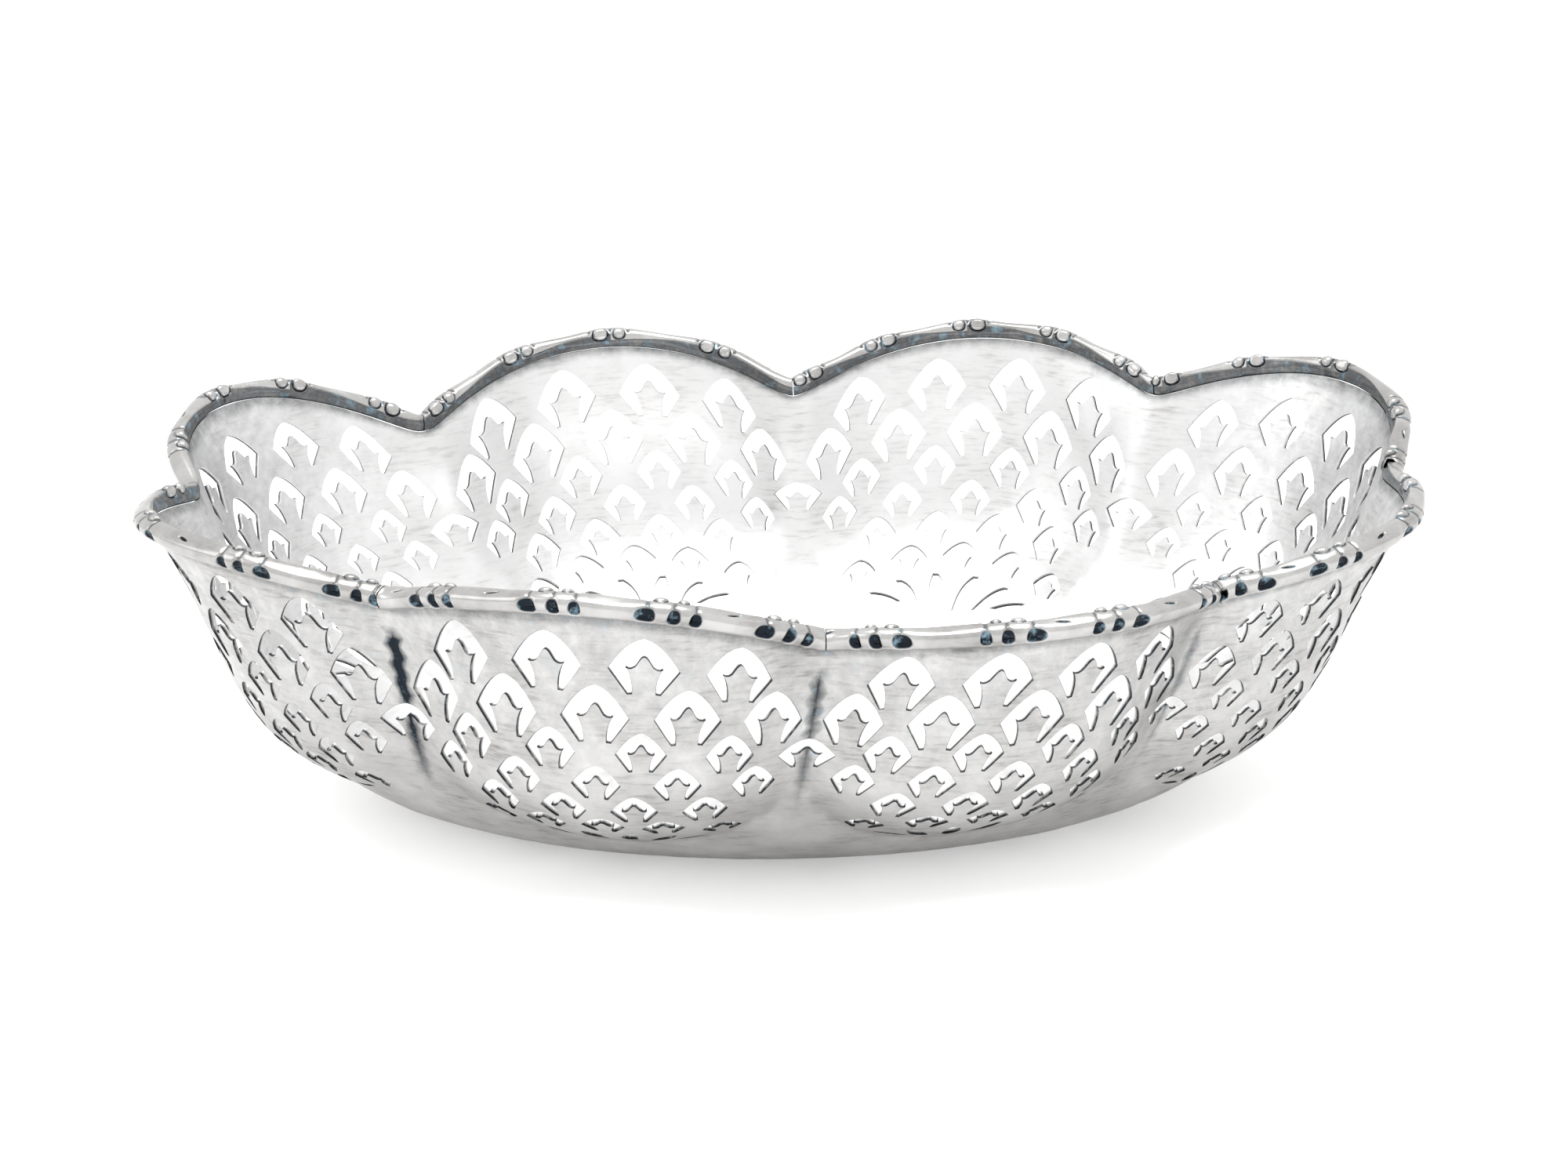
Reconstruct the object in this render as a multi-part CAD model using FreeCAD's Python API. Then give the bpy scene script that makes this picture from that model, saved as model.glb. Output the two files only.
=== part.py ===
import FreeCAD, Part
import math
import os

# Pierced oval bonbon dish: one raised sheet with eight lobes, and a cast border in eight
# sections that sits on the sheet's top edge. Millimetres and degrees, +Z up, the length along
# X, the origin under the middle of the rim at the height of the flat base.

SIZES = (
    # Ovals of the sheet, measured at the valleys between the lobes
    ("rim_oval_length", 145.3),
    ("rim_oval_width", 101.6),
    ("belly_oval_length", 133.3),
    ("belly_oval_width", 96.8),
    ("base_oval_length", 75.4),
    ("base_oval_width", 42.7),
    # Heights above the base
    ("belly_height", 27.2),
    ("flare_start_height", 14),
    ("wall_height", 34.8),
    ("end_rise", 2.9),
    ("lobe_rise", 5),
    ("rim_twist", 1.2),
    # Turn of the base against the rim, as the raised sheet came off the stake
    ("body_turn", 6.1),
    # How far the base sits towards the left of the rim's middle
    ("base_offset", 3.7),
    # Moves the rim so that the middle of the whole outline lies over the origin
    ("rim_shift_along", 0.18),
    ("rim_shift_across", 0.28),
    # Lobes, raised from the oval between the valleys
    ("side_lobe_bulge", 7.4),
    ("end_lobe_bulge", 4),
    # How much further the end lobes flare at the rim
    ("end_flare", 4),
    ("lobe_tip_height", 7.3),
    ("lobe_full_height", 18),
    ("bulge_full_height", 18.9),
    ("valley_radius", 2.2),
    ("sheet_thickness", 0.6),
    # Border section
    ("border_width", 2.6),
    ("border_height", 2.2),
    ("border_outset", 0.25),
    ("border_seat_clearance", 0.05),
    ("border_joint_gap", 0.1),
    ("rib_pitch", 2.6),
    ("rib_depth", 0.5),
    ("bead_depth", 0.4),
    ("scroll_swell", 0.55),
    ("scroll_belly", 0.3),
)

doc = FreeCAD.newDocument("bonbon_dish")
sheet = doc.addObject("Spreadsheet::Sheet", "sizes")
for row, (alias, value) in enumerate(SIZES, start=1):
    sheet.set("A%d" % row, alias)
    sheet.set("B%d" % row, str(value))
    sheet.setAlias("B%d" % row, alias)
doc.recompute()


def size(alias):
    """The value of a driving dimension in the sheet."""
    return float(getattr(sheet, alias))


LOBES = 8
SHEET_T = size("sheet_thickness")
WALL_H = size("wall_height")
BELLY_H = size("belly_height")
FLARE_H = size("flare_start_height")
SIDE_BULGE = size("side_lobe_bulge")
END_BULGE = size("end_lobe_bulge")

# Steps of the sheet's surface along one lobe and up the wall
LOBE_STEPS = 32
WALL_STEPS = 25
# The flat base's edge, as a share of the way up the profile
FLAT_SHARE = 3 / WALL_STEPS
# Half the turn of one lobe's arc
LOBE_HALF_TURN = math.radians(40)
# Hand-made unevenness, lobe by lobe: the oval angles of the valleys in degrees, how fast the
# angle grows at each, in degrees for a lobe, and how far each lobe's edge rises
VALLEY_ANGLES = (-3, 48, 89, 131, 178, 230.5, 272.5, 311)
VALLEY_RATES = (74, 49, 38, 50, 66, 56, 40, 40)
LOBE_RISE_SHARES = (0.87, 1.04, 1.33, 1.32, 0.46, 1.07, 0.42, 0.29)
# How strongly each lobe's edge flares out at the ends, and how close to the ends that stays
LOBE_FLARE_SHARES = (0.7, 0, 0, 1.15, 1, 0, 0, 0.65)
END_FLARE_POWER = 4
# How far about a diagonal valley the side lobes' sizes change to the end lobes', in lobes
SIDE_BLEND_SHARE = 0.3
# Softness of the crease round a lobe's lower edge
CREASE_SHARE = 0.06
# Where on the profile the wall starts to follow the rim's rise and fall
LIFT_START_SHARE = 0.55


def profile_turn_share():
    """Share of the profile at which the wall stands upright."""
    quarter = BELLY_H * math.pi / 2
    return FLAT_SHARE + (1 - FLAT_SHARE) * quarter / (quarter + WALL_H - BELLY_H)


TURN_SHARE = profile_turn_share()
RISE_RATE = BELLY_H * math.pi / 2 / (TURN_SHARE - FLAT_SHARE)


def wall_z(up):
    """Height of the wall over a valley, up being 0 inside the base and 1 at the edge."""
    if up <= FLAT_SHARE:
        return 0.0
    if up < TURN_SHARE:
        turn = (up - FLAT_SHARE) / (TURN_SHARE - FLAT_SHARE) * math.pi / 2
        return BELLY_H * (1 - math.cos(turn))
    return BELLY_H + (up - TURN_SHARE) * RISE_RATE


def up_at(height):
    """Share of the profile at a height below the belly."""
    turn = math.acos(1 - height / BELLY_H)
    return FLAT_SHARE + turn / (math.pi / 2) * (TURN_SHARE - FLAT_SHARE)


def flare_share(up):
    """How far the wall has flared out, 1 at the rim."""
    return (max(wall_z(up) - FLARE_H, 0) / (WALL_H - FLARE_H)) ** 2


def half_axis(up, base, belly, rim):
    """Half axis of the valley oval at a share of the profile, from its three diameters."""
    turn = min((up - FLAT_SHARE) / (TURN_SHARE - FLAT_SHARE), 1) * math.pi / 2
    if turn < 0:
        grow = turn
    else:
        grow = math.sin(turn)
    half = base / 2 + (belly - base) / 2 * grow
    return half + (rim - belly) / 2 * flare_share(up)


def half_length(up):
    """Half length of the valley oval at a share of the profile."""
    return half_axis(up, size("base_oval_length"), size("belly_oval_length"), size("rim_oval_length"))


def half_width(up):
    """Half width of the valley oval at a share of the profile."""
    return half_axis(up, size("base_oval_width"), size("belly_oval_width"), size("rim_oval_width"))


TIP_UP = up_at(size("lobe_tip_height"))
FULL_UP = up_at(size("lobe_full_height"))
BULGE_UP = up_at(size("bulge_full_height"))
BODY_TURN = math.radians(size("body_turn"))


def valley_angle(valley):
    """Oval angle of a valley, counted from the right end, anticlockwise."""
    turns, place = divmod(valley, LOBES)
    return math.radians(VALLEY_ANGLES[place]) + turns * 2 * math.pi


def valley_slope(valley):
    """Rate of the oval angle at a valley, so that lobes join smoothly."""
    return math.radians(VALLEY_RATES[valley % LOBES])


def chord_between_valleys():
    """Straight distance at the rim from a diagonal valley to the valley amidships."""
    along = half_length(1) * (math.cos(valley_angle(1)) - math.cos(valley_angle(2)))
    across = half_width(1) * (math.sin(valley_angle(2)) - math.sin(valley_angle(1)))
    return math.hypot(along, across)


# Rounds the valleys: the bulge near a valley has this radius
VALLEY_SHARE = 16 * SIDE_BULGE * size("valley_radius") / chord_between_valleys() ** 2


def lobe_chord(around):
    """Lobe number and place across it from -1 to 1, for a place round the dish in lobes."""
    lobe = math.floor(around)
    across = 2 * (around - lobe) - 1
    return lobe, math.sin(LOBE_HALF_TURN * across) / math.sin(LOBE_HALF_TURN)


def oval_angle(around):
    """Angle on the valley oval for a place round the dish in lobes."""
    lobe, chord = lobe_chord(around)
    part = (1 + chord) / 2
    start = valley_angle(lobe)
    end = valley_angle(lobe + 1)
    lead = valley_slope(lobe)
    trail = valley_slope(lobe + 1)
    keep = 1 - part
    return (start * keep ** 2 * (1 + 2 * part) + end * part ** 2 * (1 + 2 * keep)
            + lead * part * keep ** 2 - trail * keep * part ** 2)


def smooth_step(value, low, high):
    """0 up to the low value and 1 from the high one, smooth between them."""
    part = min(max((value - low) / (high - low), 0), 1)
    return part * part * (3 - 2 * part)


def side_weight(around):
    """1 in the middle of the long sides, 0 at the ends, with a smooth change at a valley."""
    from_middle = abs((around % 4) - 2)
    return 1 - smooth_step(from_middle, 1 - SIDE_BLEND_SHARE, 1 + SIDE_BLEND_SHARE)


def lobe_crown(around):
    """1 at a lobe's middle and 0 at its valleys, which are rounded."""
    chord = lobe_chord(around)[1]
    crown = math.hypot(1 - chord ** 2, VALLEY_SHARE) - VALLEY_SHARE
    return crown / (math.hypot(1, VALLEY_SHARE) - VALLEY_SHARE)


def bulge(around, up):
    """How far the sheet stands out from the valley oval."""
    if up <= TIP_UP:
        return 0.0
    side = side_weight(around)
    full = END_BULGE + (SIDE_BULGE - END_BULGE) * side
    grown = 1 - max((BULGE_UP - up) / (BULGE_UP - TIP_UP), 0) ** 2
    width_squared = 1 - max((FULL_UP - up) / (FULL_UP - TIP_UP), 0) ** 2
    inside = (lobe_crown(around) - 1 + width_squared) / width_squared
    raised = (inside + math.hypot(inside, CREASE_SHARE) - CREASE_SHARE) / 2
    return full * grown * max(raised, 0)


def end_flare(around, up):
    """How much further the sheet stands out near the ends of the rim."""
    share = LOBE_FLARE_SHARES[math.floor(around) % LOBES] * flare_share(up)
    return (size("end_flare") * share * lobe_crown(around)
            * math.cos(oval_angle(around)) ** END_FLARE_POWER)


def rim_lift(around):
    """How far the rim stands above its lowest point amidships."""
    angle = oval_angle(around)
    lobe_rise = size("lobe_rise") * LOBE_RISE_SHARES[math.floor(around) % LOBES]
    return (size("end_rise") * math.cos(angle) ** 2 + lobe_rise * lobe_crown(around)
            + size("rim_twist") * math.sin(2 * angle))


def outside_point(around, up):
    """Point of the sheet's outer face."""
    angle = oval_angle(around)
    long_axis = half_length(up)
    short_axis = half_width(up)
    normal_x = short_axis * math.cos(angle)
    normal_y = long_axis * math.sin(angle)
    out = (bulge(around, up) + end_flare(around, up)) / math.hypot(normal_x, normal_y)
    lift = max((up - LIFT_START_SHARE) / (1 - LIFT_START_SHARE), 0) ** 2
    along = long_axis * math.cos(angle) + normal_x * out
    across = short_axis * math.sin(angle) + normal_y * out
    turn = BODY_TURN * (up - 1)
    shift = size("base_offset") * (up - 1) + size("rim_shift_along")
    return FreeCAD.Vector(along * math.cos(turn) - across * math.sin(turn) + shift,
                          along * math.sin(turn) + across * math.cos(turn) + size("rim_shift_across"),
                          wall_z(up) + lift * rim_lift(around))


NUDGE_SHARE = 1e-4


def slopes(around, up):
    """Rates of the outer face round the dish and up the wall."""
    round_it = (outside_point(around + NUDGE_SHARE, up)
                - outside_point(around - NUDGE_SHARE, up)) / (2 * NUDGE_SHARE)
    up_it = (outside_point(around, up + NUDGE_SHARE)
             - outside_point(around, up - NUDGE_SHARE)) / (2 * NUDGE_SHARE)
    return round_it, up_it


def outward(around, up):
    """Direction straight out of the sheet."""
    round_it, up_it = slopes(around, up)
    return round_it.cross(up_it).normalize()


def inside_point(around, up):
    """Point of the sheet's inner face."""
    return outside_point(around, up) - outward(around, up) * SHEET_T


def smooth_poles(points):
    """Poles of a cubic surface that passes through a grid, from the grid and its neighbours."""
    def along(rows):
        return [[(rows[i][j] * 8 - rows[i - 1][j] - rows[i + 1][j]) / 6
                 for j in range(len(rows[0]))] for i in range(1, len(rows) - 1)]

    def turned(rows):
        return [list(column) for column in zip(*rows)]

    return turned(along(turned(along(points))))


def skin(lobe, place):
    """Surface of one lobe: U counts lobe steps and V counts wall steps."""
    margin = 2
    grid = [[place(lobe + i / LOBE_STEPS, j / WALL_STEPS)
             for j in range(-margin, WALL_STEPS + margin + 1)]
            for i in range(-margin, LOBE_STEPS + margin + 1)]
    poles = smooth_poles(grid)
    degree = 3
    knots_u = list(range(-degree, LOBE_STEPS + degree + 1))
    knots_v = list(range(-degree, WALL_STEPS + degree + 1))
    surface = Part.BSplineSurface()
    surface.buildFromPolesMultsKnots(poles, [1] * len(knots_u), [1] * len(knots_v),
                                     knots_u, knots_v, False, False, degree, degree)
    surface.segment(0, LOBE_STEPS, 0, WALL_STEPS)
    return surface


# Rows of piercings from the rim down. Each row: how many openings, the share of the way up
# the profile, the spacing and the width as shares of a lobe, the height as a share of the
# width, and how the row droops towards the valleys. The third row straddles the valleys.
ROW_SHARES = (
    (4, 0.931, 0.2045, 0.148, 0.87, 0),
    (5, 0.851, 0.199, 0.146, 0.93, 0),
    (6, 0.787, 0.200, 0.112, 0.90, 0.07),
    (5, 0.724, 0.183, 0.110, 0.84, 0.07),
    (4, 0.661, 0.167, 0.110, 0.91, 0.08),
    (5, 0.607, 0.147, 0.106, 0.80, 0.33),
)
VALLEY_ROW = 2
# How much wider an opening is where it straddles a valley
VALLEY_OPENING_SHARE = 1.4

# One opening as runs of points, in half widths across and shares of its height up: an arch
# over a three-pointed crown on a stem. Only the right half is written.
OPENING_RUN_SHARES = (
    ((0, 1), (0.22, 0.955), (0.60, 0.775), (1, 0.45)),
    ((1, 0.45), (0.47, 0)),
    ((0.47, 0), (0.34, 0.01)),
    ((0.34, 0.01), (0.36, 0.22), (0.53, 0.48)),
    ((0.53, 0.48), (0.40, 0.46), (0.26, 0.50)),
    ((0.26, 0.50), (0.17, 0.585), (0.09, 0.655), (0, 0.69)),
)
OPENING_MIDDLE_SHARE = 0.52

# Petal slots that fan out from a lobe's tip, on both sides of the lobe's middle. Each: the
# foot's and the head's place beside the middle, then their places between the tip and the
# lowest row.
PETAL_SHARES = (
    (0.025, 0.060, 0.13, 0.68),
    (0.085, 0.165, 0.17, 0.58),
    (0.140, 0.245, 0.24, 0.42),
)
# A slot's widest place along its length, its half width there and at the head
PETAL_BELLY_SHARE = 0.72
PETAL_HALF_SHARE = 0.020
PETAL_HEAD_SHARE = 0.008


def grid_vector(around, up):
    """A place on a lobe's surface in its own steps."""
    return FreeCAD.Base.Vector2d(around * LOBE_STEPS, up * WALL_STEPS)


def opening_runs(lobe, row, across):
    """Right and left runs of an opening's outline, as places across the lobe and up."""
    count, middle_up, pitch, width, tall, droop = ROW_SHARES[row]
    up = middle_up - droop * (across - 0.5) ** 2
    round_it, up_it = slopes(lobe + across, up)
    height = width * tall * round_it.Length / up_it.Length
    if across in (0, 1):
        width *= VALLEY_OPENING_SHARE
    right = [[(across + x * width / 2, up + (y - OPENING_MIDDLE_SHARE) * height)
              for x, y in run] for run in OPENING_RUN_SHARES]
    left = [[(2 * across - a, b) for a, b in reversed(run)] for run in reversed(right)]
    return right, left


def row_places(row):
    """Places across the lobe of a row's openings."""
    count, up, pitch = ROW_SHARES[row][:3]
    return [0.5 + (i - (count - 1) / 2) * pitch for i in range(count)]


def petal_runs(side, foot_place, head_place, low_share, high_share):
    """Runs of a petal slot's outline on one side of the lobe: pointed foot, wider head."""
    reach = ROW_SHARES[-1][1] - TIP_UP
    foot = (0.5 + side * foot_place, TIP_UP + reach * low_share)
    head = (0.5 + side * head_place, TIP_UP + reach * high_share)
    belly = [foot[axis] + (head[axis] - foot[axis]) * PETAL_BELLY_SHARE for axis in (0, 1)]
    left_head = (head[0] - PETAL_HEAD_SHARE, head[1])
    right_head = (head[0] + PETAL_HEAD_SHARE, head[1])
    return [[foot, (belly[0] - PETAL_HALF_SHARE, belly[1]), left_head],
            [left_head, right_head],
            [right_head, (belly[0] + PETAL_HALF_SHARE, belly[1]), foot]]


def opening_outlines(lobe):
    """Outlines of all the openings that lie inside one lobe."""
    outlines = []
    for row in range(len(ROW_SHARES)):
        for across in row_places(row):
            if 0 < round(across, 3) < 1:
                right, left = opening_runs(lobe, row, across)
                outlines.append(right + left)
    for side in (-1, 1):
        for petal in PETAL_SHARES:
            outlines.append(petal_runs(side, *petal))
    return outlines


def edge_on(surface, run):
    """Edge on a surface along a run of places: straight, or a curve through them."""
    points = [grid_vector(a, b) for a, b in run]
    if len(points) == 2:
        return Part.Geom2d.Line2dSegment(points[0], points[1]).toShape(surface)
    curve = Part.Geom2d.BSplineCurve2d()
    curve.interpolate(points)
    return curve.toShape(surface)


def lobe_border_runs(lobe):
    """Runs round one lobe of the sheet, with half of each valley opening cut out."""
    near_half = opening_runs(lobe, VALLEY_ROW, 0)[0]
    far_half = opening_runs(lobe, VALLEY_ROW, 1)[1]
    near_arch, near_crown = near_half[0][0], near_half[-1][-1]
    far_crown, far_arch = far_half[0][0], far_half[-1][-1]
    return ([[(0, 0), (1, 0)], [(1, 0), far_crown]] + far_half
            + [[far_arch, (1, 1)], [(1, 1), (0, 1)], [(0, 1), near_arch]]
            + near_half + [[near_crown, (0, 0)]])


def sheet_faces():
    """Faces of the sheet: both skins with their openings, the cut edges and the flat floor."""
    faces = []
    floors = {outside_point: [], inside_point: []}
    for lobe in range(LOBES):
        border = lobe_border_runs(lobe)
        outlines = opening_outlines(lobe)
        borders = []
        openings = []
        for place in (outside_point, inside_point):
            surface = skin(lobe, place)
            border_edges = [edge_on(surface, run) for run in border]
            opening_edges = [[edge_on(surface, run) for run in outline] for outline in outlines]
            face = Part.Face(surface, Part.Wire(border_edges))
            face.cutHoles([Part.Wire(edges) for edges in opening_edges])
            faces.append(face)
            floors[place].append(border_edges[0])
            borders.append(border_edges)
            openings.append(opening_edges)
        for outer, inner, run in zip(borders[0], borders[1], border):
            seam = len(run) == 2 and run[0][0] == run[1][0]
            at_floor = run[0][1] + run[1][1] == 0
            if not seam and not at_floor:
                faces.append(Part.makeRuledSurface(outer, inner))
        for outer_edges, inner_edges in zip(*openings):
            for outer, inner in zip(outer_edges, inner_edges):
                faces.append(Part.makeRuledSurface(outer, inner))
    for edges in floors.values():
        faces.append(Part.Face(Part.Wire(Part.__sortEdges__(edges))))
    return faces


def closed_solid(faces):
    """Sews faces into one shell and fills it."""
    sewn = Part.Compound(faces)
    sewn.sewShape()
    if len(sewn.Shells) != 1 or not sewn.Shells[0].isClosed():
        raise RuntimeError("the faces don't close into one shell")
    solid = Part.Solid(sewn.Shells[0])
    if solid.Volume < 0:
        solid.reverse()
    return solid


# Border sections: steps along one section and round it
SECTION_STEPS = 112
ROUND_STEPS = 16
# Squareness of the section, 2 being an ellipse
SECTION_POWER = 2.8
BORDER_W = size("border_width")
BORDER_H = size("border_height")
BORDER_OUT = size("border_outset")
SEAT_GAP = size("border_seat_clearance")
JOINT_GAP = size("border_joint_gap")
RIB_PITCH = size("rib_pitch")
RIB_DEPTH = size("rib_depth")
BEAD_DEPTH = size("bead_depth")
SCROLL_SWELL = size("scroll_swell")
SCROLL_BELLY = size("scroll_belly")
# Middles of the groups of ribs along each section, as shares of it from its first notch, and
# the end of each group, 1 or -1 along the section, at which its large recess lies
GROUP_SHARES = (
    ((0.03, -1), (0.23, -1), (0.505, -1), (0.745, -1), (0.97, -1)),
    ((0.11, -1), (0.32, -1), (0.53, -1), (0.745, -1), (0.945, -1)),
    ((0.225, 1), (0.475, 1), (0.69, 1), (0.915, 1)),
    ((0.12, -1), (0.36, -1), (0.58, -1), (0.82, -1)),
    ((0.10, 1), (0.39, 1), (0.695, 1), (0.945, -1)),
    ((0.175, -1), (0.43, -1), (0.655, -1), (0.89, -1)),
    ((0.13, 1), (0.39, 1), (0.615, 1), (0.92, 1)),
    ((0.07, 1), (0.357, -1), (0.655, -1), (0.865, -1)),
)
GROUPS = [(lobe + share, end) for lobe, groups in enumerate(GROUP_SHARES)
          for share, end in groups]
# Recesses of a group and the beads that end its ribs: place and width, as shares of the pitch
RECESS_SHARES = ((1.08, 0.90), (0, 0.68), (-0.88, 0.64))
BEAD_SHARES = ((0.54, 0.80), (-0.42, 0.66))
# Part of a scroll, from one group to the next, where its belly is fullest, and its length
BELLY_SHARE = 0.60
BELLY_LENGTH_SHARE = 0.76
# Directions round the section, from straight out, in which the relief faces
RECESS_TURN = math.radians(10)
BEAD_TURN = math.radians(138)
SWELL_TURN = math.radians(70)
BELLY_TURN = math.radians(155)


def hump(offset, width):
    """1 at the middle of a width and 0 at its ends, smooth."""
    if abs(offset) >= width / 2:
        return 0.0
    return math.cos(math.pi * offset / width) ** 2


def border_frame(around):
    """Seat of the border on the sheet's top edge, with directions along, up and out."""
    round_it, up_it = slopes(around, 1)
    out = round_it.cross(up_it).normalize()
    along = FreeCAD.Vector(round_it).normalize()
    return outside_point(around, 1) - out * SHEET_T / 2, along, out.cross(along), out


def scroll_place(around):
    """Place along a scroll, 0 at the group where it starts thin and 1 at the next one."""
    before = max(((place, end) for place, end in GROUPS if place <= around),
                 default=(GROUPS[-1][0] - LOBES, GROUPS[-1][1]))
    after = min((group for group in GROUPS if group[0] > around),
                default=(GROUPS[0][0] + LOBES, GROUPS[0][1]))
    part = (around - before[0]) / (after[0] - before[0])
    return part if before[1] > 0 else 1 - part


def section_points(lobe, part):
    """Ring of points round a border section at a part of its length."""
    around = lobe + part
    seat, along, upward, out = border_frame(around)
    seat += along * JOINT_GAP * (0.5 - part)
    rate = slopes(around, 1)[0].Length / RIB_PITCH
    recess = bead = 0
    for middle, end in GROUPS:
        offset = (around - middle) * end * rate
        recess += sum(hump(offset - place, width) for place, width in RECESS_SHARES)
        bead += sum(hump(offset - place, width) for place, width in BEAD_SHARES)
    scroll = scroll_place(around)
    swell = SCROLL_SWELL * math.cos(math.pi * scroll) ** 2
    belly = SCROLL_BELLY * hump(scroll - BELLY_SHARE, BELLY_LENGTH_SHARE)
    ring = []
    for step in range(ROUND_STEPS):
        turn = 2 * math.pi * step / ROUND_STEPS
        flat = (abs(math.cos(turn)) ** SECTION_POWER
                + abs(math.sin(turn)) ** SECTION_POWER) ** (-1 / SECTION_POWER)
        grow = swell * max(math.cos(turn - SWELL_TURN), 0)
        grow += belly * max(math.cos(turn - BELLY_TURN), 0) ** 2
        grow += BEAD_DEPTH * bead * max(math.cos(turn - BEAD_TURN), 0) ** 2
        grow -= RIB_DEPTH * recess * max(math.cos(turn - RECESS_TURN), 0) ** 2
        x = (BORDER_W / 2 * flat + grow) * math.cos(turn)
        y = (BORDER_H / 2 * flat + grow) * math.sin(turn)
        ring.append(seat + out * (BORDER_OUT + x) + upward * (SEAT_GAP + BORDER_H / 2 + y))
    return ring


def border_section(lobe):
    """One cast section of the border, from notch to notch."""
    poles = [section_points(lobe, i / SECTION_STEPS) for i in range(SECTION_STEPS + 1)]
    degree = 3
    spans = SECTION_STEPS + 1 - degree
    knots_along = list(range(spans + 1))
    mults_along = [degree + 1] + [1] * (spans - 1) + [degree + 1]
    knots_round = list(range(ROUND_STEPS + 1))
    surface = Part.BSplineSurface()
    surface.buildFromPolesMultsKnots(poles, mults_along, [1] * len(knots_round),
                                     knots_along, knots_round, False, True, degree, degree)
    ends = [surface.uIso(place).toShape() for place in (0, spans)]
    return closed_solid([surface.toShape()] + [Part.Face(Part.Wire([end])) for end in ends])


def add_part(name, shape):
    """Puts a sub-part in the document under its file name."""
    part = doc.addObject("Part::Feature", name)
    part.Label = name
    part.Shape = shape
    part.Placement = FreeCAD.Placement()
    return part


parts = [add_part("bowl", closed_solid(sheet_faces()))]
for lobe in range(LOBES):
    parts.append(add_part("border_section_%d" % (lobe + 1), border_section(lobe)))

doc.recompute()
for part in doc.Objects:
    if "Invalid" in part.State or "Error" in part.State:
        raise RuntimeError("%s can't be built from the sizes" % part.Label)
for part in parts:
    if part.Shape.isNull() or not part.Shape.isValid() or part.Shape.Volume <= 0:
        raise RuntimeError("%s isn't a valid solid" % part.Label)

os.makedirs("parts", exist_ok=True)
whole = FreeCAD.BoundBox()
for part in parts:
    part.Shape.exportStep("parts/%s.step" % part.Label)
    box = part.Shape.optimalBoundingBox(False)
    whole.add(box)
    print("%s %.1f x %.1f x %.1f mm" % (part.Label, box.XLength, box.YLength, box.ZLength))
print("dish %.1f x %.1f x %.1f mm" % (whole.XLength, whole.YLength, whole.ZLength))
print("centre %.2f %.2f, base at %.2f mm" % (whole.Center.x, whole.Center.y, whole.ZMin))
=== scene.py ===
import math

import bpy
import numpy as np
from mathutils import Matrix, Vector
from mathutils.geometry import delaunay_2d_cdt


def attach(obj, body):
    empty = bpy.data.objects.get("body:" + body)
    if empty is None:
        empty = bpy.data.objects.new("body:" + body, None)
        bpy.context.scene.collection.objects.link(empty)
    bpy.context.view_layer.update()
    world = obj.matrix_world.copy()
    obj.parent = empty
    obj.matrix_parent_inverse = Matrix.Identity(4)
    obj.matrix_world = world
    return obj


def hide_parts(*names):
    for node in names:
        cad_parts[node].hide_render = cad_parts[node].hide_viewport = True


# Pierced oval bonbon dish. Lengths are millimetres until a mesh is made. The origin is under
# the middle of the whole outline, at the height of the flat base, and X runs along the dish.

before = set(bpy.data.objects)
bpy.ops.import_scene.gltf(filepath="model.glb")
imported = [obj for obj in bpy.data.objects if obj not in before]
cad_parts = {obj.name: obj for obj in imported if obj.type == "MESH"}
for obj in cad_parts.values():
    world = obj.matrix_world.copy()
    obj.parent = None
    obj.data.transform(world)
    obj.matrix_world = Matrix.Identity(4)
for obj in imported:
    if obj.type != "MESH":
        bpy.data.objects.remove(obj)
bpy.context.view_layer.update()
MM = 0.001

# The sheet's form, with the sizes of the part's own source
RIM_OVAL = (145.3, 101.6)
BELLY_OVAL = (133.3, 96.8)
BASE_OVAL = (75.4, 42.7)
BELLY_HEIGHT = 27.2
FLARE_START_HEIGHT = 14
WALL_HEIGHT = 34.8
END_RISE = 2.9
LOBE_RISE = 5
RIM_TWIST = 1.2
BODY_TURN = math.radians(6.1)
BASE_OFFSET = 3.7
RIM_SHIFT = (0.18, 0.28)
SIDE_LOBE_BULGE = 7.4
END_LOBE_BULGE = 4
END_FLARE = 4
LOBE_TIP_HEIGHT = 7.3
LOBE_FULL_HEIGHT = 18
BULGE_FULL_HEIGHT = 18.9
VALLEY_RADIUS = 2.2
# Hand-made unevenness, lobe by lobe: the oval angles of the valleys in degrees, how fast the
# angle grows at each, in degrees for a lobe, and how far each lobe's edge rises and flares
VALLEY_ANGLES = (-3, 48, 89, 131, 178, 230.5, 272.5, 311)
VALLEY_RATES = (74, 49, 38, 50, 66, 56, 40, 40)
LOBE_RISE_SHARES = (0.87, 1.04, 1.33, 1.32, 0.46, 1.07, 0.42, 0.29)
LOBE_FLARE_SHARES = (0.7, 0, 0, 1.15, 1, 0, 0, 0.65)
END_FLARE_POWER = 4
SHEET_THICKNESS = 0.6
FLAT_SHARE = 0.12
LOBE_HALF_TURN = math.radians(40)
SIDE_BLEND_SHARE = 0.3
CREASE_SHARE = 0.06
LIFT_START_SHARE = 0.55
LOBES = 8
# Keeps a lobe that has narrowed to nothing from dividing by zero
TINY_SHARE = 1e-9

QUARTER = BELLY_HEIGHT * math.pi / 2
TURN_SHARE = FLAT_SHARE + (1 - FLAT_SHARE) * QUARTER / (QUARTER + WALL_HEIGHT - BELLY_HEIGHT)
RISE_RATE = QUARTER / (TURN_SHARE - FLAT_SHARE)


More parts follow.
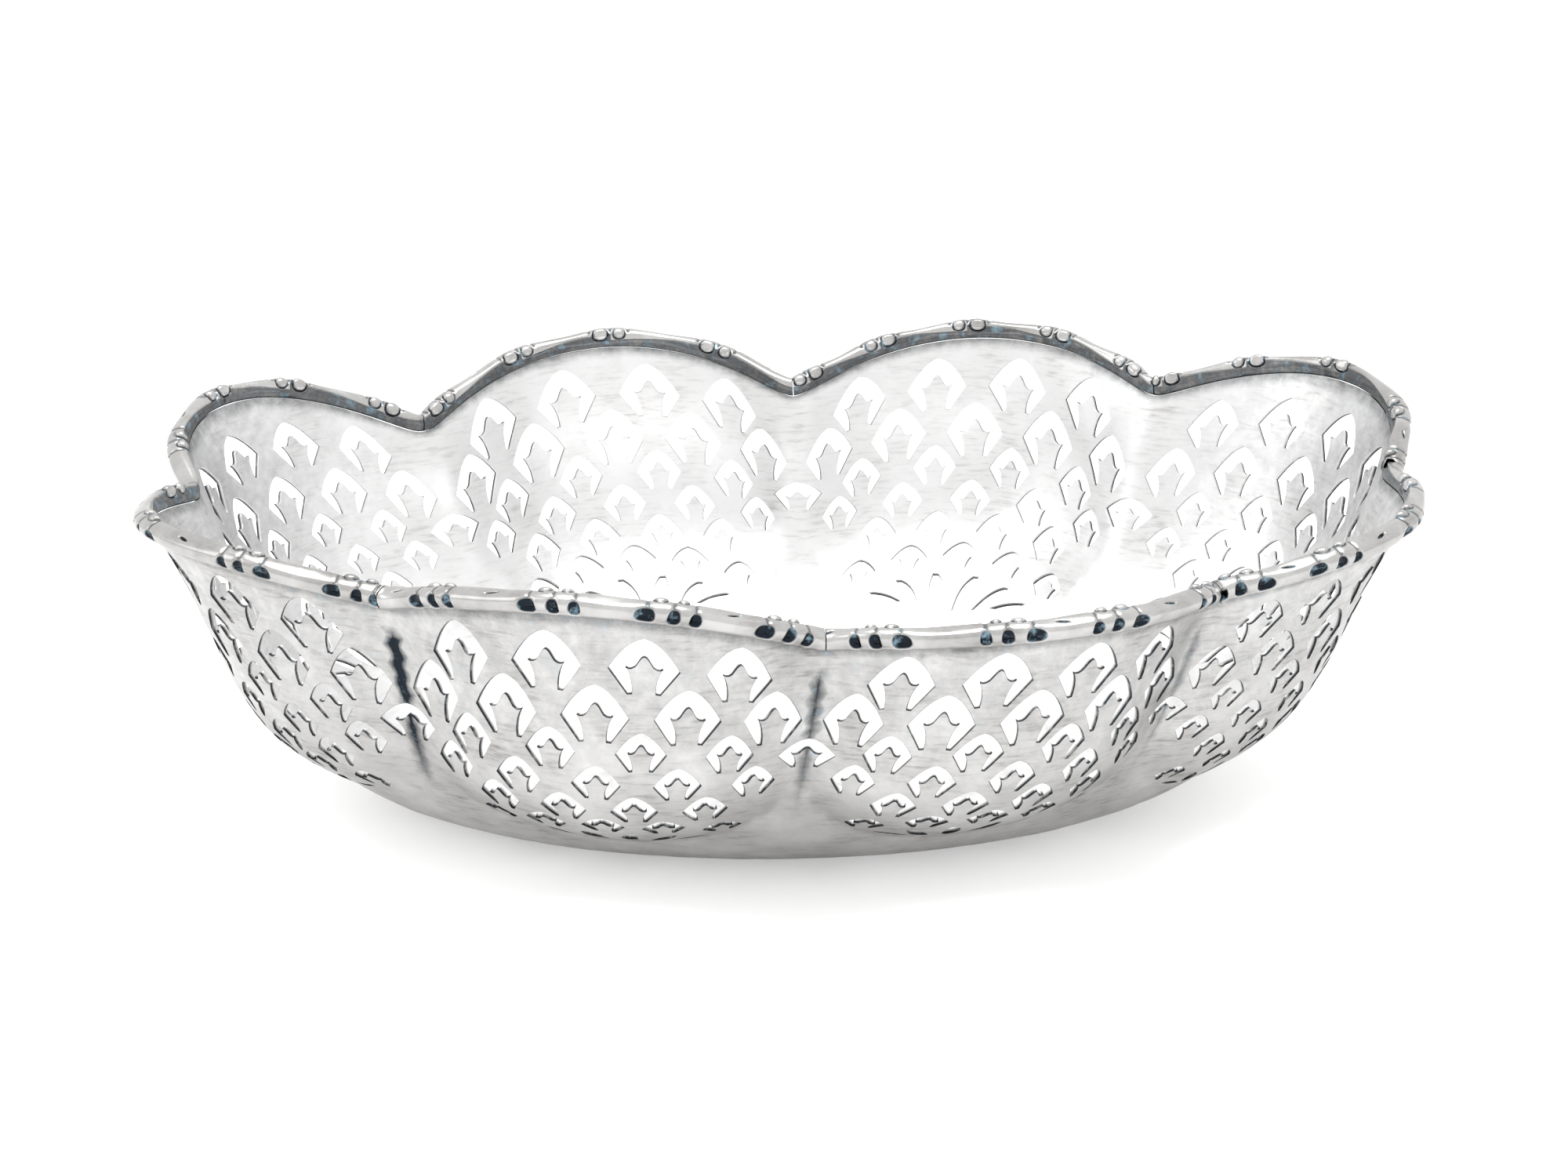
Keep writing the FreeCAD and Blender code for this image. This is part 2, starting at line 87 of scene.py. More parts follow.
def wall_z(up):
    """Height of the wall over a valley, up being 0 inside the base and 1 at the edge."""
    turn = (up - FLAT_SHARE) / (TURN_SHARE - FLAT_SHARE) * math.pi / 2
    curved = BELLY_HEIGHT * (1 - np.cos(np.clip(turn, 0, math.pi / 2)))
    return curved + np.maximum(up - TURN_SHARE, 0) * RISE_RATE


def up_at(height):
    """Share of the profile at a height below the belly."""
    turn = math.acos(1 - height / BELLY_HEIGHT)
    return FLAT_SHARE + turn / (math.pi / 2) * (TURN_SHARE - FLAT_SHARE)


TIP_UP = up_at(LOBE_TIP_HEIGHT)
FULL_UP = up_at(LOBE_FULL_HEIGHT)
BULGE_UP = up_at(BULGE_FULL_HEIGHT)


def flare_share(up):
    """How far the wall has flared out, 1 at the rim."""
    above = np.maximum(wall_z(up) - FLARE_START_HEIGHT, 0)
    return (above / (WALL_HEIGHT - FLARE_START_HEIGHT)) ** 2


def half_axis(up, axis):
    """Half length (axis 0) or half width (axis 1) of the valley oval."""
    turn = np.minimum((up - FLAT_SHARE) / (TURN_SHARE - FLAT_SHARE), 1) * math.pi / 2
    grow = np.where(turn < 0, turn, np.sin(turn))
    half = BASE_OVAL[axis] / 2 + (BELLY_OVAL[axis] - BASE_OVAL[axis]) / 2 * grow
    return half + (RIM_OVAL[axis] - BELLY_OVAL[axis]) / 2 * flare_share(up)


# The chord of a side lobe's rim, and the rounding that gives its valleys their radius
VALLEY_CHORD = math.hypot(
    RIM_OVAL[0] / 2 * (math.cos(math.radians(VALLEY_ANGLES[1])) - math.cos(math.radians(VALLEY_ANGLES[2]))),
    RIM_OVAL[1] / 2 * (math.sin(math.radians(VALLEY_ANGLES[2])) - math.sin(math.radians(VALLEY_ANGLES[1]))))
VALLEY_SHARE = 16 * SIDE_LOBE_BULGE * VALLEY_RADIUS / VALLEY_CHORD ** 2


def valley_angle(valley):
    """Oval angle of a valley, counted from the right end, anticlockwise."""
    turns, place = np.divmod(valley, LOBES)
    return np.radians(np.array(VALLEY_ANGLES)[place.astype(int)]) + turns * 2 * math.pi


def valley_slope(valley):
    """Rate of the oval angle at a valley, so that lobes join smoothly."""
    return np.radians(np.array(VALLEY_RATES)[valley.astype(int) % LOBES])


def lobe_chord(around):
    """Lobe number and place across it from -1 to 1, for a place round the dish in lobes."""
    lobe = np.floor(around)
    across = 2 * (around - lobe) - 1
    return lobe, np.sin(LOBE_HALF_TURN * across) / math.sin(LOBE_HALF_TURN)


def oval_angle(around):
    """Angle on the valley oval for a place round the dish in lobes."""
    lobe, chord = lobe_chord(around)
    part = (1 + chord) / 2
    keep = 1 - part
    return (valley_angle(lobe) * keep ** 2 * (1 + 2 * part)
            + valley_angle(lobe + 1) * part ** 2 * (1 + 2 * keep)
            + valley_slope(lobe) * part * keep ** 2
            - valley_slope(lobe + 1) * keep * part ** 2)


def smooth_step(value, low, high):
    """0 up to the low value and 1 from the high one, smooth between them."""
    part = np.clip((value - low) / (high - low), 0, 1)
    return part * part * (3 - 2 * part)


def tent(value, start, full_from, full_to, end):
    """0 before the start and after the end, 1 between the two middle values."""
    return smooth_step(value, start, full_from) * (1 - smooth_step(value, full_to, end))


def side_weight(around):
    """1 in the middle of the long sides, 0 at the ends, with a smooth change at a valley."""
    from_middle = np.abs(around % (LOBES // 2) - LOBES // 4)
    return 1 - smooth_step(from_middle, 1 - SIDE_BLEND_SHARE, 1 + SIDE_BLEND_SHARE)


def lobe_crown(around):
    """1 at a lobe's middle and 0 at its valleys, which are rounded."""
    chord = lobe_chord(around)[1]
    crown = np.hypot(1 - chord ** 2, VALLEY_SHARE) - VALLEY_SHARE
    return crown / (math.hypot(1, VALLEY_SHARE) - VALLEY_SHARE)


def bulge(around, up):
    """How far the sheet stands out from the valley oval."""
    side = side_weight(around)
    full = END_LOBE_BULGE + (SIDE_LOBE_BULGE - END_LOBE_BULGE) * side
    grown = 1 - np.clip((BULGE_UP - up) / (BULGE_UP - TIP_UP), 0, 1) ** 2
    width_squared = 1 - np.clip((FULL_UP - up) / (FULL_UP - TIP_UP), 0, 1) ** 2
    inside = (lobe_crown(around) - 1 + width_squared) / np.maximum(width_squared, TINY_SHARE)
    raised = (inside + np.hypot(inside, CREASE_SHARE) - CREASE_SHARE) / 2
    return np.where(up > TIP_UP, full * grown * np.maximum(raised, 0), 0)


def end_flare(around, up):
    """How much further the sheet stands out near the ends of the rim."""
    lobe = np.floor(around).astype(int) % LOBES
    share = np.array(LOBE_FLARE_SHARES)[lobe] * flare_share(up)
    return (END_FLARE * share * lobe_crown(around)
            * np.cos(oval_angle(around)) ** END_FLARE_POWER)


def rim_lift(around):
    """How far the rim stands above its lowest point amidships."""
    angle = oval_angle(around)
    lobe = np.floor(around).astype(int) % LOBES
    lobe_rise = LOBE_RISE * np.array(LOBE_RISE_SHARES)[lobe]
    return END_RISE * np.cos(angle) ** 2 + lobe_rise * lobe_crown(around) + RIM_TWIST * np.sin(2 * angle)


def outside_point(around, up):
    """Points of the sheet's outer face."""
    around, up = np.broadcast_arrays(np.asarray(around, float), np.asarray(up, float))
    angle = oval_angle(around)
    long_axis = half_axis(up, 0)
    short_axis = half_axis(up, 1)
    normal_x = short_axis * np.cos(angle)
    normal_y = long_axis * np.sin(angle)
    out = (bulge(around, up) + end_flare(around, up)) / np.hypot(normal_x, normal_y)
    lift = (np.maximum(up - LIFT_START_SHARE, 0) / (1 - LIFT_START_SHARE)) ** 2
    along = long_axis * np.cos(angle) + normal_x * out
    across = short_axis * np.sin(angle) + normal_y * out
    turn = BODY_TURN * (up - 1)
    shift = BASE_OFFSET * (up - 1) + RIM_SHIFT[0]
    return np.stack((along * np.cos(turn) - across * np.sin(turn) + shift,
                     along * np.sin(turn) + across * np.cos(turn) + RIM_SHIFT[1],
                     wall_z(up) + lift * rim_lift(around)), axis=-1)


# Steps over which slopes are measured, for the plain sheet and for the uneven one
NUDGE_SHARE = 1e-4
WIDE_NUDGE_SHARE = 10 * NUDGE_SHARE


def length(vectors):
    """Lengths of vectors."""
    return np.linalg.norm(vectors, axis=-1)


def unit(vectors):
    """Vectors of length 1."""
    return vectors / length(vectors)[..., None]


def slopes(around, up):
    """Rates of the outer face round the dish and up the wall."""
    around = np.asarray(around, float)
    up = np.asarray(up, float)
    round_it = outside_point(around + NUDGE_SHARE, up) - outside_point(around - NUDGE_SHARE, up)
    up_it = outside_point(around, up + NUDGE_SHARE) - outside_point(around, up - NUDGE_SHARE)
    return round_it / (2 * NUDGE_SHARE), up_it / (2 * NUDGE_SHARE)


# Openings, with the shares of the part's own source. Each row: how many, the share of the way
# up, the spacing and width as shares of a lobe, the height as a share of the width, the droop.
ROW_SHARES = (
    (4, 0.931, 0.2045, 0.148, 0.87, 0),
    (5, 0.851, 0.199, 0.146, 0.93, 0),
    (6, 0.787, 0.200, 0.112, 0.90, 0.07),
    (5, 0.724, 0.183, 0.110, 0.84, 0.07),
    (4, 0.661, 0.167, 0.110, 0.91, 0.08),
    (5, 0.607, 0.147, 0.106, 0.80, 0.33),
)
OPENING_MIDDLE_SHARE = 0.52
# How much wider an opening is where it straddles a valley
VALLEY_OPENING_SHARE = 1.4
# The middle of a lobe, as a share of it
MIDDLE_SHARE = 0.5
# The right half of an opening's outline, run by run from the top of its arch: places across in
# half widths from its middle, and up in shares of its height
ARCH_SHARES = ((0, 1), (0.22, 0.955), (0.60, 0.775), (1, 0.45))
OUTER_LEG_SHARES = ((1, 0.45), (0.47, 0))
LEG_TIP_SHARES = ((0.47, 0), (0.34, 0.01))
STEM_SHARES = ((0.34, 0.01), (0.36, 0.22), (0.53, 0.48))
NOTCH_SHARES = ((0.53, 0.48), (0.40, 0.46), (0.26, 0.50))
CROWN_SHARES = ((0.26, 0.50), (0.17, 0.585), (0.09, 0.655), (0, 0.69))
# The runs, each with its number of steps
HALF_OPENING_RUNS = ((ARCH_SHARES, 9), (OUTER_LEG_SHARES, 7), (LEG_TIP_SHARES, 2),
                     (STEM_SHARES, 5), (NOTCH_SHARES, 3), (CROWN_SHARES, 5))
# Petal slots: how far foot and head lie from the lobe's middle, as shares of the lobe, and how
# far up they lie, as shares of the way from the lobe's tip to the lowest row of openings
PETAL_SHARES = (
    (0.025, 0.060, 0.13, 0.68),
    (0.085, 0.165, 0.17, 0.58),
    (0.140, 0.245, 0.24, 0.42),
)
PETAL_BELLY_SHARE = 0.72
PETAL_HALF_SHARE = 0.020
PETAL_HEAD_SHARE = 0.008
PETAL_SIDE_STEPS = 12
PETAL_HEAD_STEPS = 2


def curve_through(points, steps):
    """Points along a smooth curve through a few points, leaving out the last."""
    points = np.array(points, float)
    reach = np.concatenate(([0], np.cumsum(length(np.diff(points, axis=0)))))
    places = np.linspace(0, reach[-1], steps, endpoint=False)
    if len(points) == 2:
        return np.stack([np.interp(places, reach, points[:, axis]) for axis in (0, 1)], axis=1)
    terms = np.polynomial.polynomial.Polynomial.fit
    fits = [terms(reach, points[:, axis], len(points) - 1) for axis in (0, 1)]
    return np.stack([fit(places) for fit in fits], axis=1)


def opening_outline(lobe, across, middle_up, width, tall, droop):
    """Closed outline of an opening, clockwise from the top of its arch, and how many of its
    points are the right half."""
    up = middle_up - droop * (across - MIDDLE_SHARE) ** 2
    round_it, up_it = slopes(lobe + across, up)
    height = width * tall * float(length(round_it) / length(up_it))
    if across in (0, 1):
        width *= VALLEY_OPENING_SHARE
    right = np.concatenate([curve_through(run, steps) for run, steps in HALF_OPENING_RUNS])
    right = np.concatenate((right, [CROWN_SHARES[-1]]))
    left = right[-2:0:-1] * (-1, 1)
    shape = np.concatenate((right, left))
    return np.stack((across + shape[:, 0] * width / 2,
                     up + (shape[:, 1] - OPENING_MIDDLE_SHARE) * height), axis=1), len(right)


def petal_outline(side, foot_place, head_place, low_share, high_share):
    """Closed outline of a petal slot."""
    reach = ROW_SHARES[-1][1] - TIP_UP
    foot = (MIDDLE_SHARE + side * foot_place, TIP_UP + reach * low_share)
    head = (MIDDLE_SHARE + side * head_place, TIP_UP + reach * high_share)
    belly = [foot[axis] + (head[axis] - foot[axis]) * PETAL_BELLY_SHARE for axis in (0, 1)]
    head_left = (head[0] - PETAL_HEAD_SHARE, head[1])
    head_right = (head[0] + PETAL_HEAD_SHARE, head[1])
    left = curve_through((foot, (belly[0] - PETAL_HALF_SHARE, belly[1]), head_left),
                         PETAL_SIDE_STEPS)
    top = curve_through((head_left, head_right), PETAL_HEAD_STEPS)
    right = curve_through((head_right, (belly[0] + PETAL_HALF_SHARE, belly[1]), foot),
                          PETAL_SIDE_STEPS)
    return np.concatenate((left, top, right))


# Limits how far the corners of a grown outline reach
LEAST_LEAN_SHARE = 0.5


def grown(outline, scale, by):
    """An outline in shares moved outwards by a length, scale being millimetres per share."""
    flat = outline * scale
    ahead = unit(np.roll(flat, -1, axis=0) - flat)
    behind = np.roll(ahead, 1, axis=0)
    out = (ahead + behind)[:, ::-1] * (-1, 1)
    out = unit(out)
    lean = np.maximum((out * (ahead[:, ::-1] * (-1, 1))).sum(axis=1), LEAST_LEAN_SHARE)
    return (flat + out * (by / lean)[:, None]) / scale


def in_outline(points, outline):
    """Which points lie inside a closed outline."""
    inside = np.zeros(len(points), bool)
    x, y = points.T
    for (ax, ay), (bx, by) in zip(outline, np.roll(outline, -1, axis=0)):
        crosses = (ay > y) != (by > y)
        if ay != by:
            inside ^= crosses & (x < (bx - ax) * (y - ay) / (by - ay) + ax)
    return inside


def in_none(points, outlines):
    """Which points lie outside every one of some closed outlines."""
    clear = np.ones(len(points), bool)
    for outline in outlines:
        clear &= ~in_outline(points, outline)
    return clear


# Unevenness of the hand-raised sheet: its depth, its waves round the dish and up the wall with
# their shifts, how far they wander, and the shares of the way up where they start, are full,
# and end
HAMMER_DEPTH = 0.04
HAMMER_WAVES = ((13, 2.3, 0.4), (29, 3.7, 1.9), (47, 5.9, 4.2), (71, 8.3, 2.6))
HAMMER_WANDER = 3
HAMMER_SHARES = (0.2, 0.4, 0.93, 0.99)
# The chamfer of the cut edges, and how finely the sheet between the openings is divided
CHAMFER = 0.06
GRID_STEPS = (38, 52)
GRID_STAGGER_SHARE = 0.25
GRID_CLEARANCE = 0.42
SEAM_STEPS = (34, 12)
BOTTOM_STEPS = 24
TOP_STEPS = 96
TRIANGLE_TOLERANCE = 1e-7
# The share of the way up at which a lobe's flat pattern is measured
PATTERN_UP_SHARE = 0.8
# Decimals of a millimetre to which welded points agree, and decimals of a place across a lobe
WELD_DECIMALS = 4
PLACE_DECIMALS = 6


def unevenness(around, up):
    """Shallow hand-raised waves in the sheet, none at the base and the edge."""
    turn = around * 2 * math.pi / LOBES
    waves = sum(np.sin(round_waves * turn + shift + HAMMER_WANDER * np.sin(turn + shift))
                * np.cos(2 * math.pi * up_waves * up + 2 * shift) / math.sqrt(1 + rank)
                for rank, (round_waves, up_waves, shift) in enumerate(HAMMER_WAVES))
    return HAMMER_DEPTH * waves * tent(up, *HAMMER_SHARES)


def sheet_point(around, up, depth):
    """Points at a depth under the sheet's outer face."""
    round_it, up_it = slopes(around, up)
    lift = unevenness(around, up) - depth
    return outside_point(around, up) + unit(np.cross(round_it, up_it)) * lift[..., None]


def sheet_normal(around, up):
    """Directions straight out of the uneven sheet."""
    step = WIDE_NUDGE_SHARE
    level = np.zeros_like(around)
    round_it = sheet_point(around + step, up, level) - sheet_point(around - step, up, level)
    up_it = sheet_point(around, up + step, level) - sheet_point(around, up - step, level)
    return unit(np.cross(round_it, up_it))


class MeshParts:
    """Collects points, faces and the normal at each face corner, and welds them at the end."""

    def __init__(self):
        self.points = []
        self.tarnish_and_shade = []
        self.faces = []
        self.count = 0

    def add_points(self, points, tarnish_and_shade):
        """Adds points and returns their numbers."""
        self.points.append(points)
        self.tarnish_and_shade.append(np.broadcast_to(tarnish_and_shade, len(points)))
        self.count += len(points)
        return np.arange(self.count - len(points), self.count)

    def add_faces(self, corners, normals, material):
        """Adds faces from corner numbers (n, k) and corner normals (n, k, 3)."""
        self.faces.append((np.asarray(corners), np.asarray(normals), material))

    def make(self, name, materials):
        """Welds points that coincide and makes the object, in metres."""
        points = np.concatenate(self.points)
        tarnish_and_shade = np.concatenate(self.tarnish_and_shade)
        kept, place = np.unique(np.round(points, WELD_DECIMALS), axis=0, return_index=True,
                                return_inverse=True)[1:]
        place = place.ravel()
        corner_counts = []
        corner_points = []
        corner_normals = []
        face_materials = []
        for corners, normals, material in self.faces:
            corner_counts.append(np.full(len(corners), corners.shape[1]))
            corner_points.append(place[corners].ravel())
            corner_normals.append(normals.reshape(-1, 3))
            face_materials.append(np.full(len(corners), material))
        corner_counts = np.concatenate(corner_counts)
        corner_points = np.concatenate(corner_points).astype(np.int32)
        mesh = bpy.data.meshes.new(name)
        mesh.vertices.add(len(kept))
        mesh.vertices.foreach_set("co", (points[kept] * MM).astype(np.float32).ravel())
        mesh.loops.add(len(corner_points))
        mesh.loops.foreach_set("vertex_index", corner_points)
        mesh.polygons.add(len(corner_counts))
        starts = np.concatenate(([0], np.cumsum(corner_counts)[:-1])).astype(np.int32)
        mesh.polygons.foreach_set("loop_start", starts)
        mesh.polygons.foreach_set("material_index", np.concatenate(face_materials).astype(np.int32))
        mesh.polygons.foreach_set("use_smooth", np.ones(len(starts), bool))
        mesh.update(calc_edges=True)
        # The attribute carries tarnish and painted shade, which the silver turns dark
        layer = mesh.attributes.new("tarnish_and_shade", "FLOAT", "POINT")
        layer.data.foreach_set("value", tarnish_and_shade[kept].astype(np.float32))
        mesh.normals_split_custom_set(np.concatenate(corner_normals).tolist())
        for material in materials:
            mesh.materials.append(material)
        piece = bpy.data.objects.new(name, mesh)
        bpy.context.scene.collection.objects.link(piece)
        return piece


# Material slots of the sheet
INNER, CUT, OUTER = range(3)
# Tarnish on an opening's cut edge, beside the outer face and beside the inner one
CUT_TARNISH = (1.0, 0.1)


def strip_corners(first, second):
    """Corners of the quads between two rows of point numbers."""
    return np.stack((first[:-1], first[1:], second[1:], second[:-1]), axis=1)


# Tarnish down each valley: how strong it is, and the half widths of its dark streak and its
# soft halo, with the shares of the way up where they start, are full, and end
VALLEY_TARNISH = (0.5, 0.4, 0.5, 0.4, 0.5, 1.0, 0.62, 0.42)
STREAK_WIDTH = 0.55
STREAK_SHARES = (0.50, 0.86, 0.93, 0.965)
HALO_TARNISH = 0.30
HALO_WIDTH = 2.4
HALO_SHARES = (0.42, 0.80, 0.88, 0.98)
# Place beside a valley where its width is measured, clear of the crease itself
BESIDE_VALLEY_SHARE = 0.05
# Painted shade under the border, where it meets the sheet, and a darkening of the wall below it, with the
# shares of the way up over which they grow. Inside, the darkening lies only near the ends: its shares there
# are of the oval's half length.
RIM_PAINTED_SHADE = 0.45
RIM_PAINTED_SHADE_SHARES = (0.972, 0.996)
INNER_RIM_PAINTED_SHADE = 0.4
INNER_RIM_SHARES = (0.984, 0.994)
WALL_DARKENING = 0.20
WALL_DARKENING_SHARES = (0.55, 0.90)
END_DARKENING_SHARES = (0.60, 0.95)


def outer_tarnish_and_shade(around, up):
    """Darkening of the outer face: tarnish down the valleys, painted shade under the border, and a
    darkening higher up the wall.
    """
    nearest = np.round(around)
    reach = np.abs(around - nearest) * length(slopes(nearest + BESIDE_VALLEY_SHARE, up)[0])
    streak = np.exp(-(reach / STREAK_WIDTH) ** 2) * tent(up, *STREAK_SHARES)
    halo = HALO_TARNISH * np.exp(-(reach / HALO_WIDTH) ** 2) * tent(up, *HALO_SHARES)
    strength = np.array(VALLEY_TARNISH)[nearest.astype(int) % LOBES]
    # Painted shade under the border, and a darkening higher up the wall
    under_rim = np.maximum(RIM_PAINTED_SHADE * smooth_step(up, *RIM_PAINTED_SHADE_SHARES),
                           WALL_DARKENING * smooth_step(up, *WALL_DARKENING_SHARES))
    return np.maximum(np.maximum(streak, halo) * strength, under_rim)


def inner_shade_and_darkening(around, up):
    """Darkening of the inner face: painted shadow under the border, and a darkening higher up near the
    ends.
    """
    end_darkening = WALL_DARKENING * (smooth_step(np.abs(np.cos(oval_angle(around))), *END_DARKENING_SHARES)
                           * smooth_step(up, *WALL_DARKENING_SHARES))
    # Painted shadow under the border
    return np.maximum(INNER_RIM_PAINTED_SHADE * smooth_step(up, *INNER_RIM_SHARES), end_darkening)


def lobe_outlines(lobe):
    """Closed outlines of a lobe's openings, and the valley openings on its two sides."""
    whole = []
    sides = {}
    for count, middle_up, pitch, width, tall, droop in ROW_SHARES:
        for place in range(count):
            across = round(MIDDLE_SHARE + (place - (count - 1) / 2) * pitch, PLACE_DECIMALS)
            outline, half = opening_outline(lobe, across, middle_up, width, tall, droop)
            if across in (0, 1):
                sides[across] = (outline, half)
            else:
                whole.append(outline)
    for side in (-1, 1):
        whole += [petal_outline(side, *petal) for petal in PETAL_SHARES]
    return whole, sides


def hole_rows(parts, lobe, outline, keep, scale):
    """Adds the chamfered cut edge of one opening. Returns its outline grown by the chamfer."""
    wide = grown(outline, scale, CHAMFER)
    around, up = lobe + outline[:, 0], outline[:, 1]
    level = np.zeros(len(outline))
    normal = sheet_normal(around, up)
    middle = sheet_point(around, up, level)
    along = np.roll(middle, -1, axis=0) - np.roll(middle, 1, axis=0)
    into = unit(np.cross(along, normal))
    wide_around, wide_up = lobe + wide[:, 0], wide[:, 1]
    rows = ((wide_around, wide_up, level, normal, outer_tarnish_and_shade(wide_around, wide_up)),
            (around, up, level + CHAMFER, into, level + CUT_TARNISH[0]),
            (around, up, level + SHEET_THICKNESS - CHAMFER, into, level + CUT_TARNISH[1]),
            (wide_around, wide_up, level + SHEET_THICKNESS, -normal,
             inner_shade_and_darkening(wide_around, wide_up)))
    numbers = []
    normals = []
    for row_around, row_up, depth, facing, tarnish_and_shade in rows:
        points = sheet_point(row_around, row_up, depth)[keep]
        numbers.append(parts.add_points(points, tarnish_and_shade[keep]))
        normals.append(facing[keep])
    for first in range(3):
        corners = strip_corners(numbers[first + 1], numbers[first])
        facing = np.stack((normals[first + 1][:-1], normals[first + 1][1:],
                           normals[first][1:], normals[first][:-1]), axis=1)
        parts.add_faces(corners, facing, (OUTER, CUT, INNER)[first])
    return wide


def straight(start, end, count):
    """Points along a straight line, both ends among them."""
    return np.stack([np.linspace(start[axis], end[axis], count) for axis in (0, 1)], axis=1)


def lobe_border(near, far):
    """Closed outline of a lobe's flat pattern, anticlockwise from the near valley's foot."""
    low, high = SEAM_STEPS
    return np.concatenate((
        straight((0, 0), (1, 0), BOTTOM_STEPS + 1)[:-1],
        straight((1, 0), (1, far[0, 1]), low)[:-1],
        far,
        straight((1, far[-1, 1]), (1, 1), high)[1:-1],
        straight((1, 1), (0, 1), TOP_STEPS + 1)[:-1],
        straight((0, 1), (0, near[0, 1]), high)[:-1],
        near,
        straight((0, near[-1, 1]), (0, 0), low)[1:-1]))


def sheet_grid(openings, edge_points, scale):
    """Staggered points between the openings, clear of all edges."""
    columns, rows = GRID_STEPS
    grid_x, grid_y = np.meshgrid(np.arange(1, columns) / columns, np.arange(1, rows) / rows)
    side = np.arange(1, rows)[:, None] % 2 * 2 - 1
    grid_x = grid_x + side * GRID_STAGGER_SHARE / columns
    grid = np.stack((grid_x.ravel(), grid_y.ravel()), axis=1)
    grid = grid[in_none(grid, openings)]
    gaps = length((grid[:, None] - edge_points[None]) * scale).min(axis=1)
    return grid[gaps > GRID_CLEARANCE]


def triangulated(lobe, loops, grid, openings, scale):
    """Points of a lobe's flat pattern, and its triangles outside the openings."""
    flat = np.concatenate(loops + [grid])
    edges = []
    start = 0
    for loop in loops:
        numbers = np.arange(start, start + len(loop))
        edges += list(zip(numbers.tolist(), np.roll(numbers, -1).tolist()))
        start += len(loop)
    result = delaunay_2d_cdt([Vector(point) for point in flat * scale], edges, [], 0,
                             TRIANGLE_TOLERANCE, True)
    if len(result[0]) != len(flat):
        raise RuntimeError("lobe %d: %d points became %d" % (lobe, len(flat), len(result[0])))
    order = np.array([source[0] for source in result[3]])
    corners = order[np.array(result[2])]
    return flat, corners[in_none(flat[corners].mean(axis=1), openings)]


def add_sheet(parts, lobe, flat, corners):
    """Adds both faces of a lobe and its top edge. Returns the outer face's lowest points."""
    around, up = (lobe + flat[:, 0]) % LOBES, flat[:, 1]
    level = np.zeros(len(flat))
    normal = sheet_normal(around, up)
    outer_points = sheet_point(around, up, level)
    outer = parts.add_points(outer_points, outer_tarnish_and_shade(around, up))
    inner = parts.add_points(sheet_point(around, up, level + SHEET_THICKNESS),
                             inner_shade_and_darkening(around, up))
    parts.add_faces(outer[corners], normal[corners], OUTER)
    parts.add_faces(inner[corners[:, ::-1]], -normal[corners[:, ::-1]], INNER)
    on_top = np.flatnonzero(up == 1)
    on_top = on_top[np.argsort(flat[on_top, 0])]
    quads = strip_corners(inner[on_top], outer[on_top])[:, ::-1]
    upward = np.broadcast_to((0.0, 0.0, 1.0), quads.shape + (3,))
    parts.add_faces(quads, upward, INNER)
    on_bottom = np.flatnonzero(up == 0)
    on_bottom = on_bottom[np.argsort(flat[on_bottom, 0])][:-1]
    return outer_points[on_bottom]


def add_lobe(parts, lobe):
    """Adds one lobe of the sheet with its cut edges. Returns the outer face's lowest points."""
    whole, sides = lobe_outlines(lobe)
    round_it, up_it = slopes(lobe + MIDDLE_SHARE, PATTERN_UP_SHARE)
    scale = np.array((float(length(round_it)), float(length(up_it))))
    openings = []
    for outline in whole:
        ring = np.append(np.arange(len(outline)), 0)
        openings.append(hole_rows(parts, lobe, outline, ring, scale))
    seams = {}
    for across, (outline, half) in sides.items():
        if across == 0:
            keep = np.arange(half)
        else:
            keep = np.append(np.arange(half - 1, len(outline)), 0)
        wide = hole_rows(parts, lobe, outline, keep, scale)
        seams[across] = wide[keep]
        seams[across][[0, -1], 0] = across
        openings.append(wide)
    loops = [lobe_border(seams[0], seams[1])] + openings[:len(whole)]
    grid = sheet_grid(openings, np.concatenate(loops), scale)
    flat, corners = triangulated(lobe, loops, grid, openings, scale)
    return add_sheet(parts, lobe, flat, corners)


FLOOR_RING_SHARES = (1, 0.8, 0.6, 0.4, 0.2)


def add_floor(parts, ring):
    """Adds both faces of the flat base inside the sheet's lowest ring."""
    centre = ring.mean(axis=0)
    for height, facing in ((0, -1), (SHEET_THICKNESS, 1)):
        rows = []
        for share in FLOOR_RING_SHARES:
            points = centre + (ring - centre) * share
            points[:, 2] = height
            numbers = parts.add_points(points, 0.0)
            rows.append(np.append(numbers, numbers[0]))
        hub = parts.add_points(np.array([[centre[0], centre[1], height]]), 0.0)
        hub = np.broadcast_to(hub, rows[-1].shape)
        for wide, narrow in zip(rows[:-1], rows[1:]):
            corners = strip_corners(wide, narrow)[:, ::facing]
            parts.add_faces(corners, np.broadcast_to((0.0, 0.0, float(facing)),
                                                     corners.shape + (3,)), INNER)
        corners = np.stack((rows[-1][:-1], rows[-1][1:], hub[1:]), axis=1)[:, ::facing]
        parts.add_faces(corners, np.broadcast_to((0.0, 0.0, float(facing)),
                                                 corners.shape + (3,)), INNER)


def make_bowl(materials):
    """The pierced sheet, as a mesh with its openings cut and their edges softened."""
    parts = MeshParts()
    rings = [add_lobe(parts, lobe) for lobe in range(LOBES)]
    add_floor(parts, np.concatenate(rings))
    return parts.make("bowl_sheet", materials)


# Border: the section and its seat as in the part's own source, a hair slimmer
BORDER_WIDTH = 2.46
BORDER_HEIGHT = 2.11
BORDER_OUTSET = 0.25
SEAT_CLEARANCE = 0.08
JOINT_GAP = 0.1
SECTION_POWER = 2.8
SECTION_RADIUS = 1.25
ALONG_STEPS = 420
ROUND_STEPS = 80
